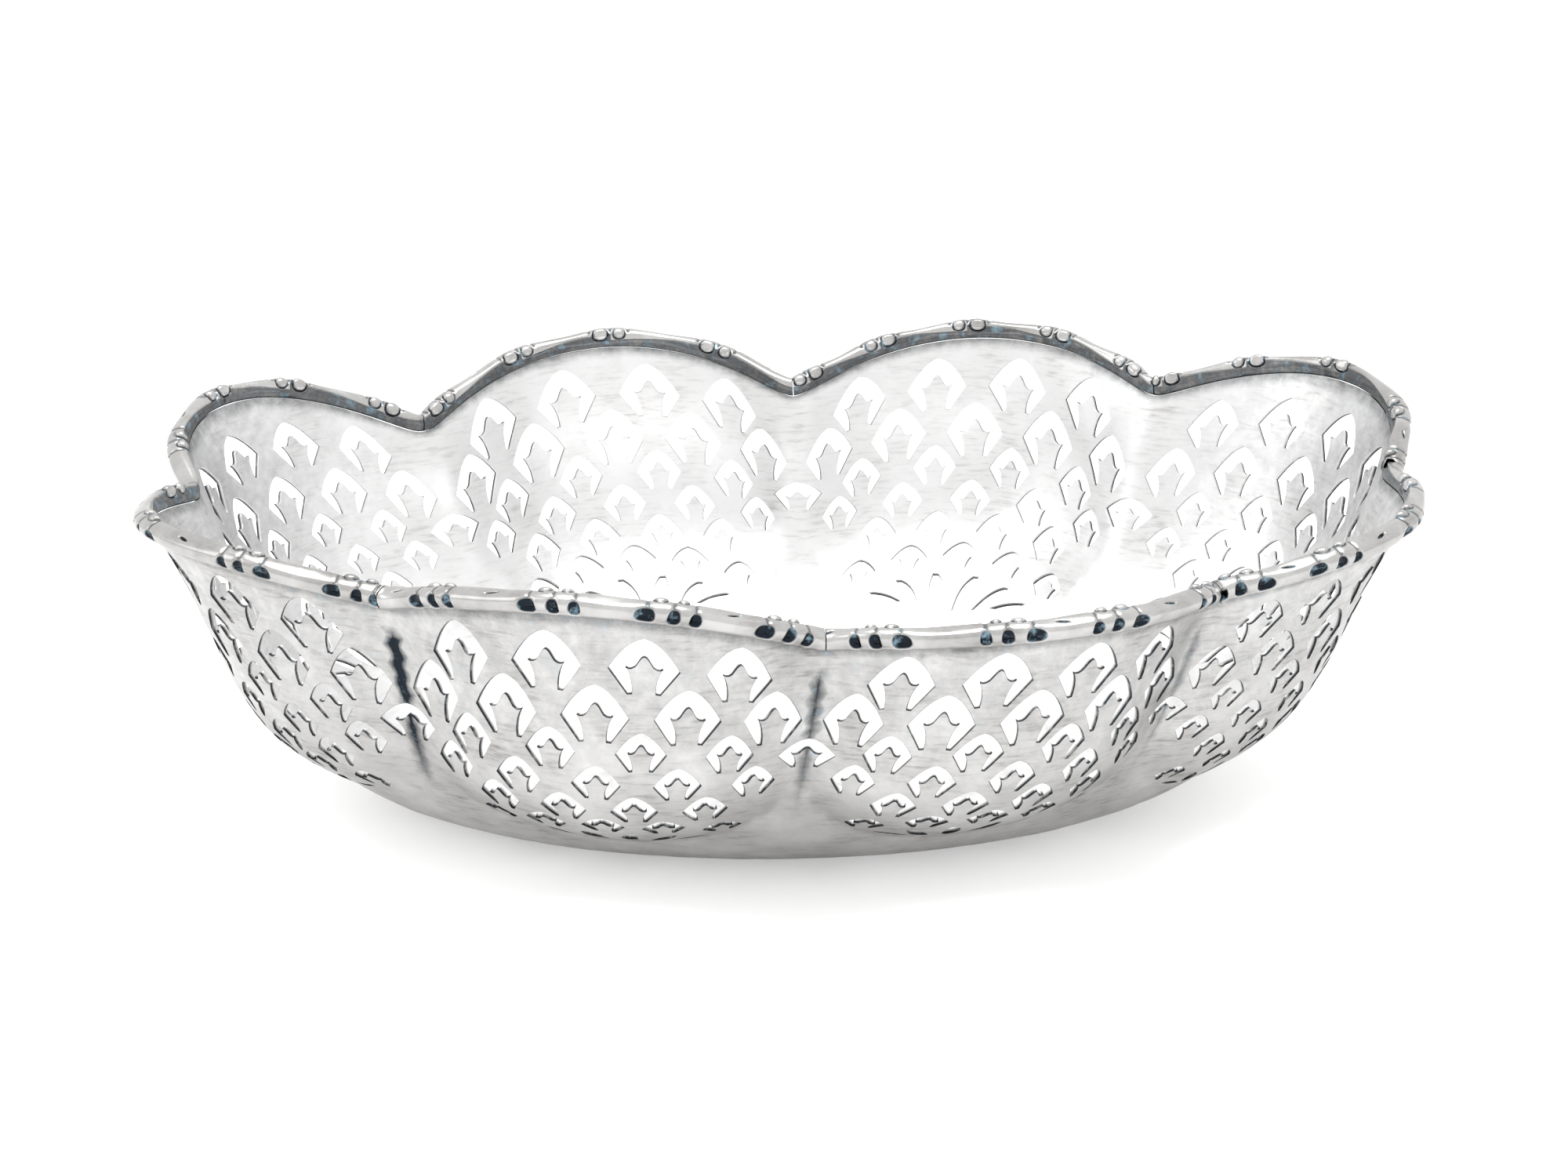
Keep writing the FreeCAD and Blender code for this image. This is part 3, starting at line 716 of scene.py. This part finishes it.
# Middles of the groups of ribs along each section, as shares of it from its first notch, and
# the end of each group, 1 or -1 along the section, at which its large recess lies
GROUP_SHARES = (
    ((0.03, -1), (0.23, -1), (0.505, -1), (0.745, -1), (0.97, -1)),
    ((0.11, -1), (0.32, -1), (0.53, -1), (0.745, -1), (0.945, -1)),
    ((0.225, 1), (0.475, 1), (0.69, 1), (0.915, 1)),
    ((0.12, -1), (0.36, -1), (0.58, -1), (0.82, -1)),
    ((0.10, 1), (0.39, 1), (0.695, 1), (0.945, -1)),
    ((0.175, -1), (0.43, -1), (0.655, -1), (0.89, -1)),
    ((0.13, 1), (0.39, 1), (0.615, 1), (0.92, 1)),
    ((0.07, 1), (0.357, -1), (0.655, -1), (0.865, -1)),
)
GROUPS = [(lobe + share, end) for lobe, groups in enumerate(GROUP_SHARES)
          for share, end in groups]
# Relief of the casting, in millimetres from a group's middle towards its large recess. Turns
# are angles round the section from straight out.
# Recesses: place, half width, half height. The large one runs out longer on its far side.
RECESSES = ((2.80, 1.00, 1.12), (0, 0.78, 1.15), (-2.30, 0.72, 1.10))
RECESS_DEPTH = 0.50
RECESS_TURN = math.radians(8)
RECESS_SQUARENESS = 2.6
RECESS_SLOPE_SHARES = (0.45, 1.05)
RECESS_TARNISH_SHARES = (0.72, 0.96)
RUN_OUT_STRETCH = 1.5
GROUP_REACH = 2 * RECESSES[0][0]
# Beads: place, radius. A moat round each is given in shares of that radius.
BEADS = ((1.40, 0.92), (-1.10, 0.74))
BEAD_HEIGHT = 0.36
BEAD_TURN = math.radians(138)
BEAD_CLEAN_SHARE = 0.95
MOAT_DEPTH = 0.16
MOAT_TARNISH = 0.9
MOAT_MIDDLE_SHARE = 1.1
MOAT_WIDTH_SHARE = 0.16
# Grooves between the ribs, with the turns where they start, are full, and end
GROOVE_DEPTH = 0.14
GROOVE_WIDTH = 0.24
GROOVE_TARNISH = 0.5
GROOVE_TURNS = tuple(math.radians(turn) for turn in (40, 62, 122, 146))
# Scrolls: the swelling at their ends, the belly on their inner side, and the hollow inside the
# edge that winds along them. Shares are of a scroll's length.
SWELL = 0.48
SWELL_TURN = math.radians(70)
BELLY = 0.22
BELLY_SHARES = (0.60, 0.76)
BELLY_TURN = math.radians(155)
EDGE_TURNS = (math.radians(128), math.radians(172))
EDGE_SHARES = (0.05, 0.95)
EDGE_SOFT_TURN = math.radians(14)
INNER_TURNS = (math.radians(215), math.radians(250))
HOLLOW_DEPTH = 0.30
# Painted shade: each scroll's underside past its edge is darkened
PAINTED_HOLLOW_SHADE = 0.52
HOLLOW_SHARES = (0.02, 0.12, 0.88, 0.98)
# Slanted eyes in the middle of two scrolls out of three: half length and half width
EYE_DEPTH = 0.25
EYE_TURN = math.radians(86)
EYE_SIZE = (0.85, 0.20)
EYE_SLANT = 0.22
EYE_SLOPE_SHARES = (0.5, 1.2)
EYE_INTERVAL = 3


def scroll_place(around):
    """Place along a scroll, 0 where it starts thin and 1 at the next group, its length in
    lobes, and its number."""
    middles = np.array([middle for middle, end in GROUPS])
    ends = np.array([end for middle, end in GROUPS])
    middles = np.concatenate((middles[-1:] - LOBES, middles, middles[:1] + LOBES))
    ends = np.concatenate((ends[-1:], ends))
    before = np.searchsorted(middles, around, side="right") - 1
    span = middles[before + 1] - middles[before]
    part = (around - middles[before]) / span
    return np.where(ends[before] > 0, part, 1 - part), span, before


def scroll_relief(around, turn, rate):
    """Height of the scrolls between the groups of ribs, with painted shade under their edge and dark eyes.
    """
    scroll, span, number = scroll_place(around)
    height = SWELL * np.cos(math.pi * scroll) ** 2 * np.maximum(np.cos(turn - SWELL_TURN), 0)
    belly = np.cos(math.pi * np.clip((scroll - BELLY_SHARES[0]) / BELLY_SHARES[1], -0.5, 0.5)) ** 2
    height += BELLY * belly * np.maximum(np.cos(turn - BELLY_TURN), 0) ** 2
    edge = EDGE_TURNS[0] + (EDGE_TURNS[1] - EDGE_TURNS[0]) * smooth_step(scroll, *EDGE_SHARES)
    past_edge = smooth_step(turn, edge, edge + EDGE_SOFT_TURN)
    height -= HOLLOW_DEPTH * (past_edge * (1 - smooth_step(turn, *INNER_TURNS))
                              * tent(scroll, *HOLLOW_SHARES))
    along = (scroll - MIDDLE_SHARE) * span * rate
    slanted = (turn - EYE_TURN) * SECTION_RADIUS + EYE_SLANT * along
    far = np.hypot(along / EYE_SIZE[0], slanted / EYE_SIZE[1])
    eye = (1 - smooth_step(far, *EYE_SLOPE_SHARES)) * (number % EYE_INTERVAL != 0)
    height -= EYE_DEPTH * eye
    # Painted shade past the edge, and the dark eyes
    return height, np.maximum(PAINTED_HOLLOW_SHADE * past_edge, eye)


def with_beads(height, dirt_and_shade, offset, turn):
    """Height and tarnish with the beads of one group added."""
    for place, radius in BEADS:
        far = np.hypot(offset - place, (turn - BEAD_TURN) * SECTION_RADIUS) / radius
        moat = (np.exp(-((far - MOAT_MIDDLE_SHARE) / MOAT_WIDTH_SHARE) ** 2)
                * smooth_step(turn, *GROOVE_TURNS[1:3]))
        height = height + BEAD_HEIGHT * np.sqrt(np.maximum(1 - far ** 2, 0)) - MOAT_DEPTH * moat
        dirt_and_shade = np.where(far < BEAD_CLEAN_SHARE, 0, np.maximum(dirt_and_shade, MOAT_TARNISH * moat))
    return height, dirt_and_shade


def with_recesses(height, dirt_and_shade, offset, turn):
    """Height and tarnish with the recesses and grooves of one group added."""
    for place, half_wide, half_tall in RECESSES:
        beyond = offset - place
        groove = np.exp(-(beyond / GROOVE_WIDTH) ** 2) * tent(turn, *GROOVE_TURNS)
        if place > 0:
            beyond = np.where(beyond > 0, beyond / RUN_OUT_STRETCH, beyond)
        far = ((np.abs(beyond) / half_wide) ** RECESS_SQUARENESS
               + (np.abs(turn - RECESS_TURN) * SECTION_RADIUS / half_tall)
               ** RECESS_SQUARENESS) ** (1 / RECESS_SQUARENESS)
        height = (height - GROOVE_DEPTH * groove
                  - RECESS_DEPTH * (1 - smooth_step(far, *RECESS_SLOPE_SHARES)))
        dirt_and_shade = np.maximum(dirt_and_shade, GROOVE_TARNISH * groove)
        dirt_and_shade = np.maximum(dirt_and_shade, 1 - smooth_step(far, *RECESS_TARNISH_SHARES))
    return height, dirt_and_shade


def relief(around, turn, rate):
    """Height of the casting's relief and its darkening, tarnish in its hollows and painted shade under the
    scrolls, along the border and round it.
    """
    height, dirt_and_shade = scroll_relief(around, turn, rate)
    for middle, end in GROUPS:
        offset = (around - middle) * end * rate
        if np.abs(offset).min() < GROUP_REACH:
            height, dirt_and_shade = with_beads(height, dirt_and_shade, offset, turn)
            height, dirt_and_shade = with_recesses(height, dirt_and_shade, offset, turn)
    return height, dirt_and_shade


def border_points(lobe, part, turn):
    """Points of a border section, with the tarnish and painted shade there."""
    around = lobe + part
    round_it, up_it = slopes(around, np.ones_like(part))
    out = unit(np.cross(round_it, up_it))
    along = unit(round_it)
    upward = np.cross(out, along)
    seat = (outside_point(around, np.ones_like(part)) - out * SHEET_THICKNESS / 2
            + along * (JOINT_GAP * (0.5 - part))[..., None])
    centred = np.where(turn > 1.5 * math.pi, turn - 2 * math.pi, turn)
    height, dirt_and_shade = relief(around, centred, length(round_it))
    flat = (np.abs(np.cos(turn)) ** SECTION_POWER
            + np.abs(np.sin(turn)) ** SECTION_POWER) ** (-1 / SECTION_POWER)
    x = BORDER_OUTSET + (BORDER_WIDTH / 2 * flat + height) * np.cos(turn)
    y = SEAT_CLEARANCE + BORDER_HEIGHT / 2 + (BORDER_HEIGHT / 2 * flat + height) * np.sin(turn)
    return seat + out * x[..., None] + upward * y[..., None], dirt_and_shade


def make_border_section(lobe, material):
    """One cast section of the border as a closed mesh."""
    part, turn = np.meshgrid(np.linspace(0, 1, ALONG_STEPS + 1),
                             np.linspace(0, 2 * math.pi, ROUND_STEPS, endpoint=False),
                             indexing="ij")
    points, dirt_and_shade = border_points(lobe, part, turn)
    closed = np.concatenate((points, points[:, :1]), axis=1)
    ahead = np.gradient(closed, axis=0)
    wrapped = np.concatenate((closed[:, -2:-1], closed, closed[:, 1:2]), axis=1)
    sideways = (wrapped[:, 2:] - wrapped[:, :-2]) / 2
    normals = unit(np.cross(ahead, sideways))
    parts = MeshParts()
    numbers = parts.add_points(points.reshape(-1, 3), dirt_and_shade.ravel()).reshape(dirt_and_shade.shape)
    numbers = np.concatenate((numbers, numbers[:, :1]), axis=1)
    corners = np.stack((numbers[:-1, :-1], numbers[1:, :-1], numbers[1:, 1:], numbers[:-1, 1:]),
                       axis=-1).reshape(-1, 4)
    facing = np.stack((normals[:-1, :-1], normals[1:, :-1], normals[1:, 1:], normals[:-1, 1:]),
                      axis=2).reshape(-1, 4, 3)
    parts.add_faces(corners, facing, 0)
    for end, order in ((0, -1), (-1, 1)):
        hub = parts.add_points(points[end].mean(axis=0)[None], 1.0)
        rim = numbers[end]
        fan = np.stack((np.broadcast_to(hub, len(rim) - 1), rim[:-1], rim[1:]), axis=1)[:, ::order]
        outward = unit(points[end].mean(axis=0) - points[1 if end == 0 else -2].mean(axis=0))
        parts.add_faces(fan, np.broadcast_to(outward, fan.shape + (3,)), 0)
    return parts.make("border_scroll_%d" % (lobe + 1), [material])


def node(tree, kind, inputs=(), **settings):
    """Adds a shader node, sets its properties, and sets or links its inputs."""
    made = tree.nodes.new(kind)
    for name, value in settings.items():
        setattr(made, name, value)
    for name, value in dict(inputs).items():
        if isinstance(value, bpy.types.NodeSocket):
            tree.links.new(value, made.inputs[name])
        else:
            made.inputs[name].default_value = value
    return made


def noise(tree, place, scale, detail=3.0, roughness=0.55, stretch=(1, 1, 1)):
    """Noise at a scale per metre, stretched along the axes."""
    mapping = node(tree, "ShaderNodeMapping", {"Vector": place, "Scale": stretch})
    return node(tree, "ShaderNodeTexNoise", {"Vector": mapping.outputs["Vector"], "Scale": scale,
                                             "Detail": detail, "Roughness": roughness}).outputs["Fac"]


def ramp(tree, value, low, high):
    """A value from 0 at its low end to 1 at its high end."""
    made = node(tree, "ShaderNodeMapRange", {"Value": value, "From Min": low, "From Max": high})
    return made.outputs["Result"]


def blended(tree, amount, first, second):
    """Two colours mixed by an amount."""
    made = node(tree, "ShaderNodeMix", data_type="RGBA")
    tree.links.new(amount, made.inputs["Factor"])
    for name, colour in (("A", first), ("B", second)):
        socket = next(s for s in made.inputs if s.name == name and s.type == "RGBA")
        if isinstance(colour, bpy.types.NodeSocket):
            tree.links.new(colour, socket)
        else:
            socket.default_value = (*colour, 1)
    return next(s for s in made.outputs if s.type == "RGBA")


def arithmetic(tree, operation, first, second):
    """A sum or product of two values."""
    made = node(tree, "ShaderNodeMath", {0: first, 1: second}, operation=operation)
    return made.outputs["Value"]


def new_material(name, metallic):
    """A material with its node tree, its shader and the object's coordinates."""
    made = bpy.data.materials.new(name)
    made.use_nodes = True
    tree = made.node_tree
    shader = tree.nodes["Principled BSDF"]
    shader.inputs["Metallic"].default_value = metallic
    return made, tree, shader, node(tree, "ShaderNodeTexCoord").outputs["Object"]


# Colours of the metal, linear: clean and worn silver inside, outside and on the border. The wear is the
# metal's own; the same silver is painted lighter inside and darker outside and on the border, as painted
# light and shade
LIT_INNER_COLOURS = ((0.96, 0.96, 0.96), (0.86, 0.855, 0.85))
SHADED_OUTER_COLOURS = ((0.82, 0.815, 0.805), (0.60, 0.59, 0.575))
SHADED_BORDER_COLOURS = ((0.66, 0.655, 0.645), (0.43, 0.42, 0.405))
SMOKY = (0.22, 0.21, 0.20)
# Black of the tarnish and of the painted shade
TARNISH_AND_SHADE_BLACK = (0.018, 0.024, 0.032)
# Pale blue of painted glints in the dark places
PALE_BLUE = (0.22, 0.33, 0.40)
CUT_BLACK = (0.04, 0.044, 0.048)
# Each silver's colours, roughness, share of smoke, and the patches over which painted blue glints show in
# its dark places
FINISHES = {
    "lit_inner_silver": (LIT_INNER_COLOURS, 0.26, 0.6, (0.70, 0.90)),
    "shaded_outer_silver": (SHADED_OUTER_COLOURS, 0.22, 1.0, (0.58, 0.72)),
    "shaded_cast_silver": (SHADED_BORDER_COLOURS, 0.14, 0.6, (0.52, 0.68)),
}
# Noise in the metal: scale per metre, detail, roughness
CLOUDS = (130, 5, 0.6)
PATCHES = (620, 5, 0.65)
RUBBING = (900, 4, 0.6)
RUBBING_STRETCH = (0.35, 0.35, 2.6)
CUT_PATCHES = (700, 4, 0.6)
# Where each effect starts and is full, in the noise or the tarnish that drives it
WEAR_RANGE = (0.35, 0.70)
SMOKE_RUBBING_RANGE = (0.50, 0.80)
SMOKE_CLOUD_RANGE = (0.38, 0.68)
DIRT_AND_SHADE_RANGE = (0.28, 0.98)
DIRT_AND_SHADE_START_RANGE = (0, 0.3)
CUT_PATCH_RANGE = (0.52, 0.78)
CUT_TARNISH_RANGE = (0.15, 0.70)
# How much patches break up the dirt and painted shade and roughen the metal, and the bump of patches and
# rubbing, its distance in metres
DIRT_AND_SHADE_BREAK = 0.6
PATCH_ROUGHNESS = 0.20
CUT_ROUGHNESS = 0.3
RUBBING_BUMP = 0.5
BUMP_STRENGTH = 0.10
BUMP_DISTANCE = 0.0002


def silver(name, colours, roughness, smoke_share, glints):
    """Aged silver: cloudy wear, fine rubbing marks, and tarnish and painted shade where the mesh says, with
    painted blue glints in them.
    """
    made, tree, shader, place = new_material(name, 1)
    clouds = noise(tree, place, *CLOUDS)
    patches = noise(tree, place, *PATCHES)
    rubbing = noise(tree, place, *RUBBING, RUBBING_STRETCH)
    # Tarnish and painted shade, from the mesh
    tarnish_and_shade = node(tree, "ShaderNodeAttribute", attribute_name="tarnish_and_shade").outputs["Fac"]
    colour = blended(tree, ramp(tree, clouds, *WEAR_RANGE), *colours)
    smoke = arithmetic(tree, "MULTIPLY", ramp(tree, rubbing, *SMOKE_RUBBING_RANGE),
                       ramp(tree, clouds, *SMOKE_CLOUD_RANGE))
    smoke = arithmetic(tree, "MULTIPLY", smoke, smoke_share)
    colour = blended(tree, smoke, colour, SMOKY)
    broken = arithmetic(tree, "ADD", tarnish_and_shade, arithmetic(tree, "MULTIPLY", patches, DIRT_AND_SHADE_BREAK))
    dirt_and_shade = arithmetic(tree, "MULTIPLY", ramp(tree, broken, *DIRT_AND_SHADE_RANGE),
                      ramp(tree, tarnish_and_shade, *DIRT_AND_SHADE_START_RANGE))
    # Painted shade and tarnish are black, with painted blue glints in patches
    dark_and_glint_colour = blended(tree, ramp(tree, patches, *glints), TARNISH_AND_SHADE_BLACK, PALE_BLUE)
    tree.links.new(blended(tree, dirt_and_shade, colour, dark_and_glint_colour), shader.inputs["Base Color"])
    rough = arithmetic(tree, "MULTIPLY", patches, PATCH_ROUGHNESS)
    tree.links.new(arithmetic(tree, "ADD", rough, roughness), shader.inputs["Roughness"])
    raised = arithmetic(tree, "ADD", arithmetic(tree, "MULTIPLY", rubbing, RUBBING_BUMP), patches)
    bump = node(tree, "ShaderNodeBump", {"Strength": BUMP_STRENGTH, "Distance": BUMP_DISTANCE,
                                         "Height": raised})
    tree.links.new(bump.outputs["Normal"], shader.inputs["Normal"])
    return made


def blackened_cut(name):
    """The sawn edges of the openings, dark outside with old polish and tarnish, bright inside in the inner
    silver's painted lighter colour.
    """
    made, tree, shader, place = new_material(name, 1)
    patches = noise(tree, place, *CUT_PATCHES)
    tarnish_and_shade = node(tree, "ShaderNodeAttribute", attribute_name="tarnish_and_shade").outputs["Fac"]
    black = blended(tree, ramp(tree, patches, *CUT_PATCH_RANGE), CUT_BLACK, SHADED_OUTER_COLOURS[1])
    colour = blended(tree, ramp(tree, tarnish_and_shade, *CUT_TARNISH_RANGE), LIT_INNER_COLOURS[1], black)
    tree.links.new(colour, shader.inputs["Base Color"])
    rough = arithmetic(tree, "MULTIPLY", patches, CUT_ROUGHNESS)
    tree.links.new(arithmetic(tree, "ADD", rough, CUT_ROUGHNESS), shader.inputs["Roughness"])
    return made


# The paper's colours, its grain's scale per metre and detail, its roughness and its shine
PAPER_COLOURS = ((0.93, 0.93, 0.93), (0.95, 0.95, 0.95))
PAPER_GRAIN = (40, 2)
PAPER_ROUGHNESS = 0.9
PAPER_SHINE = 0.1
# How much brighter the camera sees the paper, so that its shadow stays as faint as in the photo
PAPER_GLOW = 0.38


def white_floor():
    """Matt white paper that the dish stands on."""
    made, tree, shader, place = new_material("white_paper", 0)
    shader.inputs["Roughness"].default_value = PAPER_ROUGHNESS
    shader.inputs["Specular IOR Level"].default_value = PAPER_SHINE
    tree.links.new(blended(tree, noise(tree, place, *PAPER_GRAIN), *PAPER_COLOURS),
                   shader.inputs["Base Color"])
    seen = node(tree, "ShaderNodeLightPath").outputs["Is Camera Ray"]
    shader.inputs["Emission Color"].default_value = (1, 1, 1, 1)
    tree.links.new(arithmetic(tree, "MULTIPLY", seen, PAPER_GLOW), shader.inputs["Emission Strength"])
    return made


def dress_part():
    """The dish: the pierced sheet and its eight border sections."""
    # The inner silver is painted lighter, and the outer and cast silvers darker, as painted light and shade
    lit_inner_silver, shaded_outer_silver, shaded_cast_silver = [silver(name, *finish)
                                               for name, finish in FINISHES.items()]
    bowl = make_bowl([lit_inner_silver, blackened_cut("cut_edges"), shaded_outer_silver])
    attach(bowl, "root")
    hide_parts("bowl")
    for lobe in range(LOBES):
        section = make_border_section(lobe, shaded_cast_silver)
        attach(section, "root")
        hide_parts("border_section_%d" % (lobe + 1))


# Floor, in metres, a hair lower than the base so that the two don't share a plane
FLOOR_SIZE = 6.0
FLOOR_DROP = 0.0001
# Lamps: name, place and size in metres, power in watts
LAMPS = (
    ("overhead_softbox", (0.0, 0.10, 0.9), (0.7, 0.6), 4),
    ("left_softbox", (-0.9, -0.1, 0.6), (0.5, 0.7), 1),
)


def set_stage():
    """Floor, world and lamps: an even white surround, and soft lamps above and to the left."""
    half = FLOOR_SIZE / 2
    mesh = bpy.data.meshes.new("paper_floor")
    mesh.from_pydata([(-half, -half, 0), (half, -half, 0), (half, half, 0), (-half, half, 0)],
                     [], [(0, 1, 2, 3)])
    mesh.materials.append(white_floor())
    floor = bpy.data.objects.new("paper_floor", mesh)
    floor.location.z = -FLOOR_DROP
    bpy.context.scene.collection.objects.link(floor)
    world = bpy.data.worlds.new("studio")
    world.use_nodes = True
    background = world.node_tree.nodes["Background"]
    background.inputs["Color"].default_value = (1, 1, 1, 1)
    background.inputs["Strength"].default_value = 1
    bpy.context.scene.world = world
    for name, place, size, power in LAMPS:
        lamp = bpy.data.lights.new(name, "AREA")
        lamp.shape = "RECTANGLE"
        lamp.size, lamp.size_y = size
        lamp.energy = power
        holder = bpy.data.objects.new(name, lamp)
        holder.location = place
        holder.rotation_euler = (-Vector(place)).to_track_quat("-Z", "Y").to_euler()
        bpy.context.scene.collection.objects.link(holder)


# Camera, from the fit of the dish's form to the photo: millimetres, and angles in degrees. The
# nearest distance that it sees is in metres.
CAMERA_TURN = math.radians(0.325)
CAMERA_ELEVATION = math.radians(18.643)
CAMERA_ROLL = math.radians(1.415)
CAMERA_DISTANCE = 499.7
CAMERA_TARGET_HEIGHT = 20
CAMERA_SIDESTEP = (1.04, -4.60)
CAMERA_NEAREST = 0.01
FOCAL_PIXELS = 5168
PHOTO_WIDTH = 2000
SENSOR_WIDTH = 36


def set_camera():
    """The camera at the photo's viewpoint."""
    forward = Vector((math.sin(CAMERA_TURN) * math.cos(CAMERA_ELEVATION),
                      math.cos(CAMERA_TURN) * math.cos(CAMERA_ELEVATION),
                      -math.sin(CAMERA_ELEVATION)))
    level_right = Vector((math.cos(CAMERA_TURN), -math.sin(CAMERA_TURN), 0))
    level_up = level_right.cross(forward)
    right = level_right * math.cos(CAMERA_ROLL) - level_up * math.sin(CAMERA_ROLL)
    upward = level_right * math.sin(CAMERA_ROLL) + level_up * math.cos(CAMERA_ROLL)
    place = (Vector((*RIM_SHIFT, CAMERA_TARGET_HEIGHT)) - forward * CAMERA_DISTANCE
             - right * CAMERA_SIDESTEP[0] - upward * CAMERA_SIDESTEP[1]) * MM
    lens = bpy.data.cameras.new("photo_camera")
    lens.sensor_width = SENSOR_WIDTH
    lens.lens = SENSOR_WIDTH * FOCAL_PIXELS / PHOTO_WIDTH
    lens.clip_start = CAMERA_NEAREST
    camera = bpy.data.objects.new("photo_camera", lens)
    turn = Matrix((right, upward, -forward)).transposed()
    camera.matrix_world = Matrix.Translation(place) @ turn.to_4x4()
    bpy.context.scene.collection.objects.link(camera)
    bpy.context.scene.camera = camera


dress_part()
set_stage()
set_camera()
bpy.context.scene.view_settings.view_transform = "Standard"
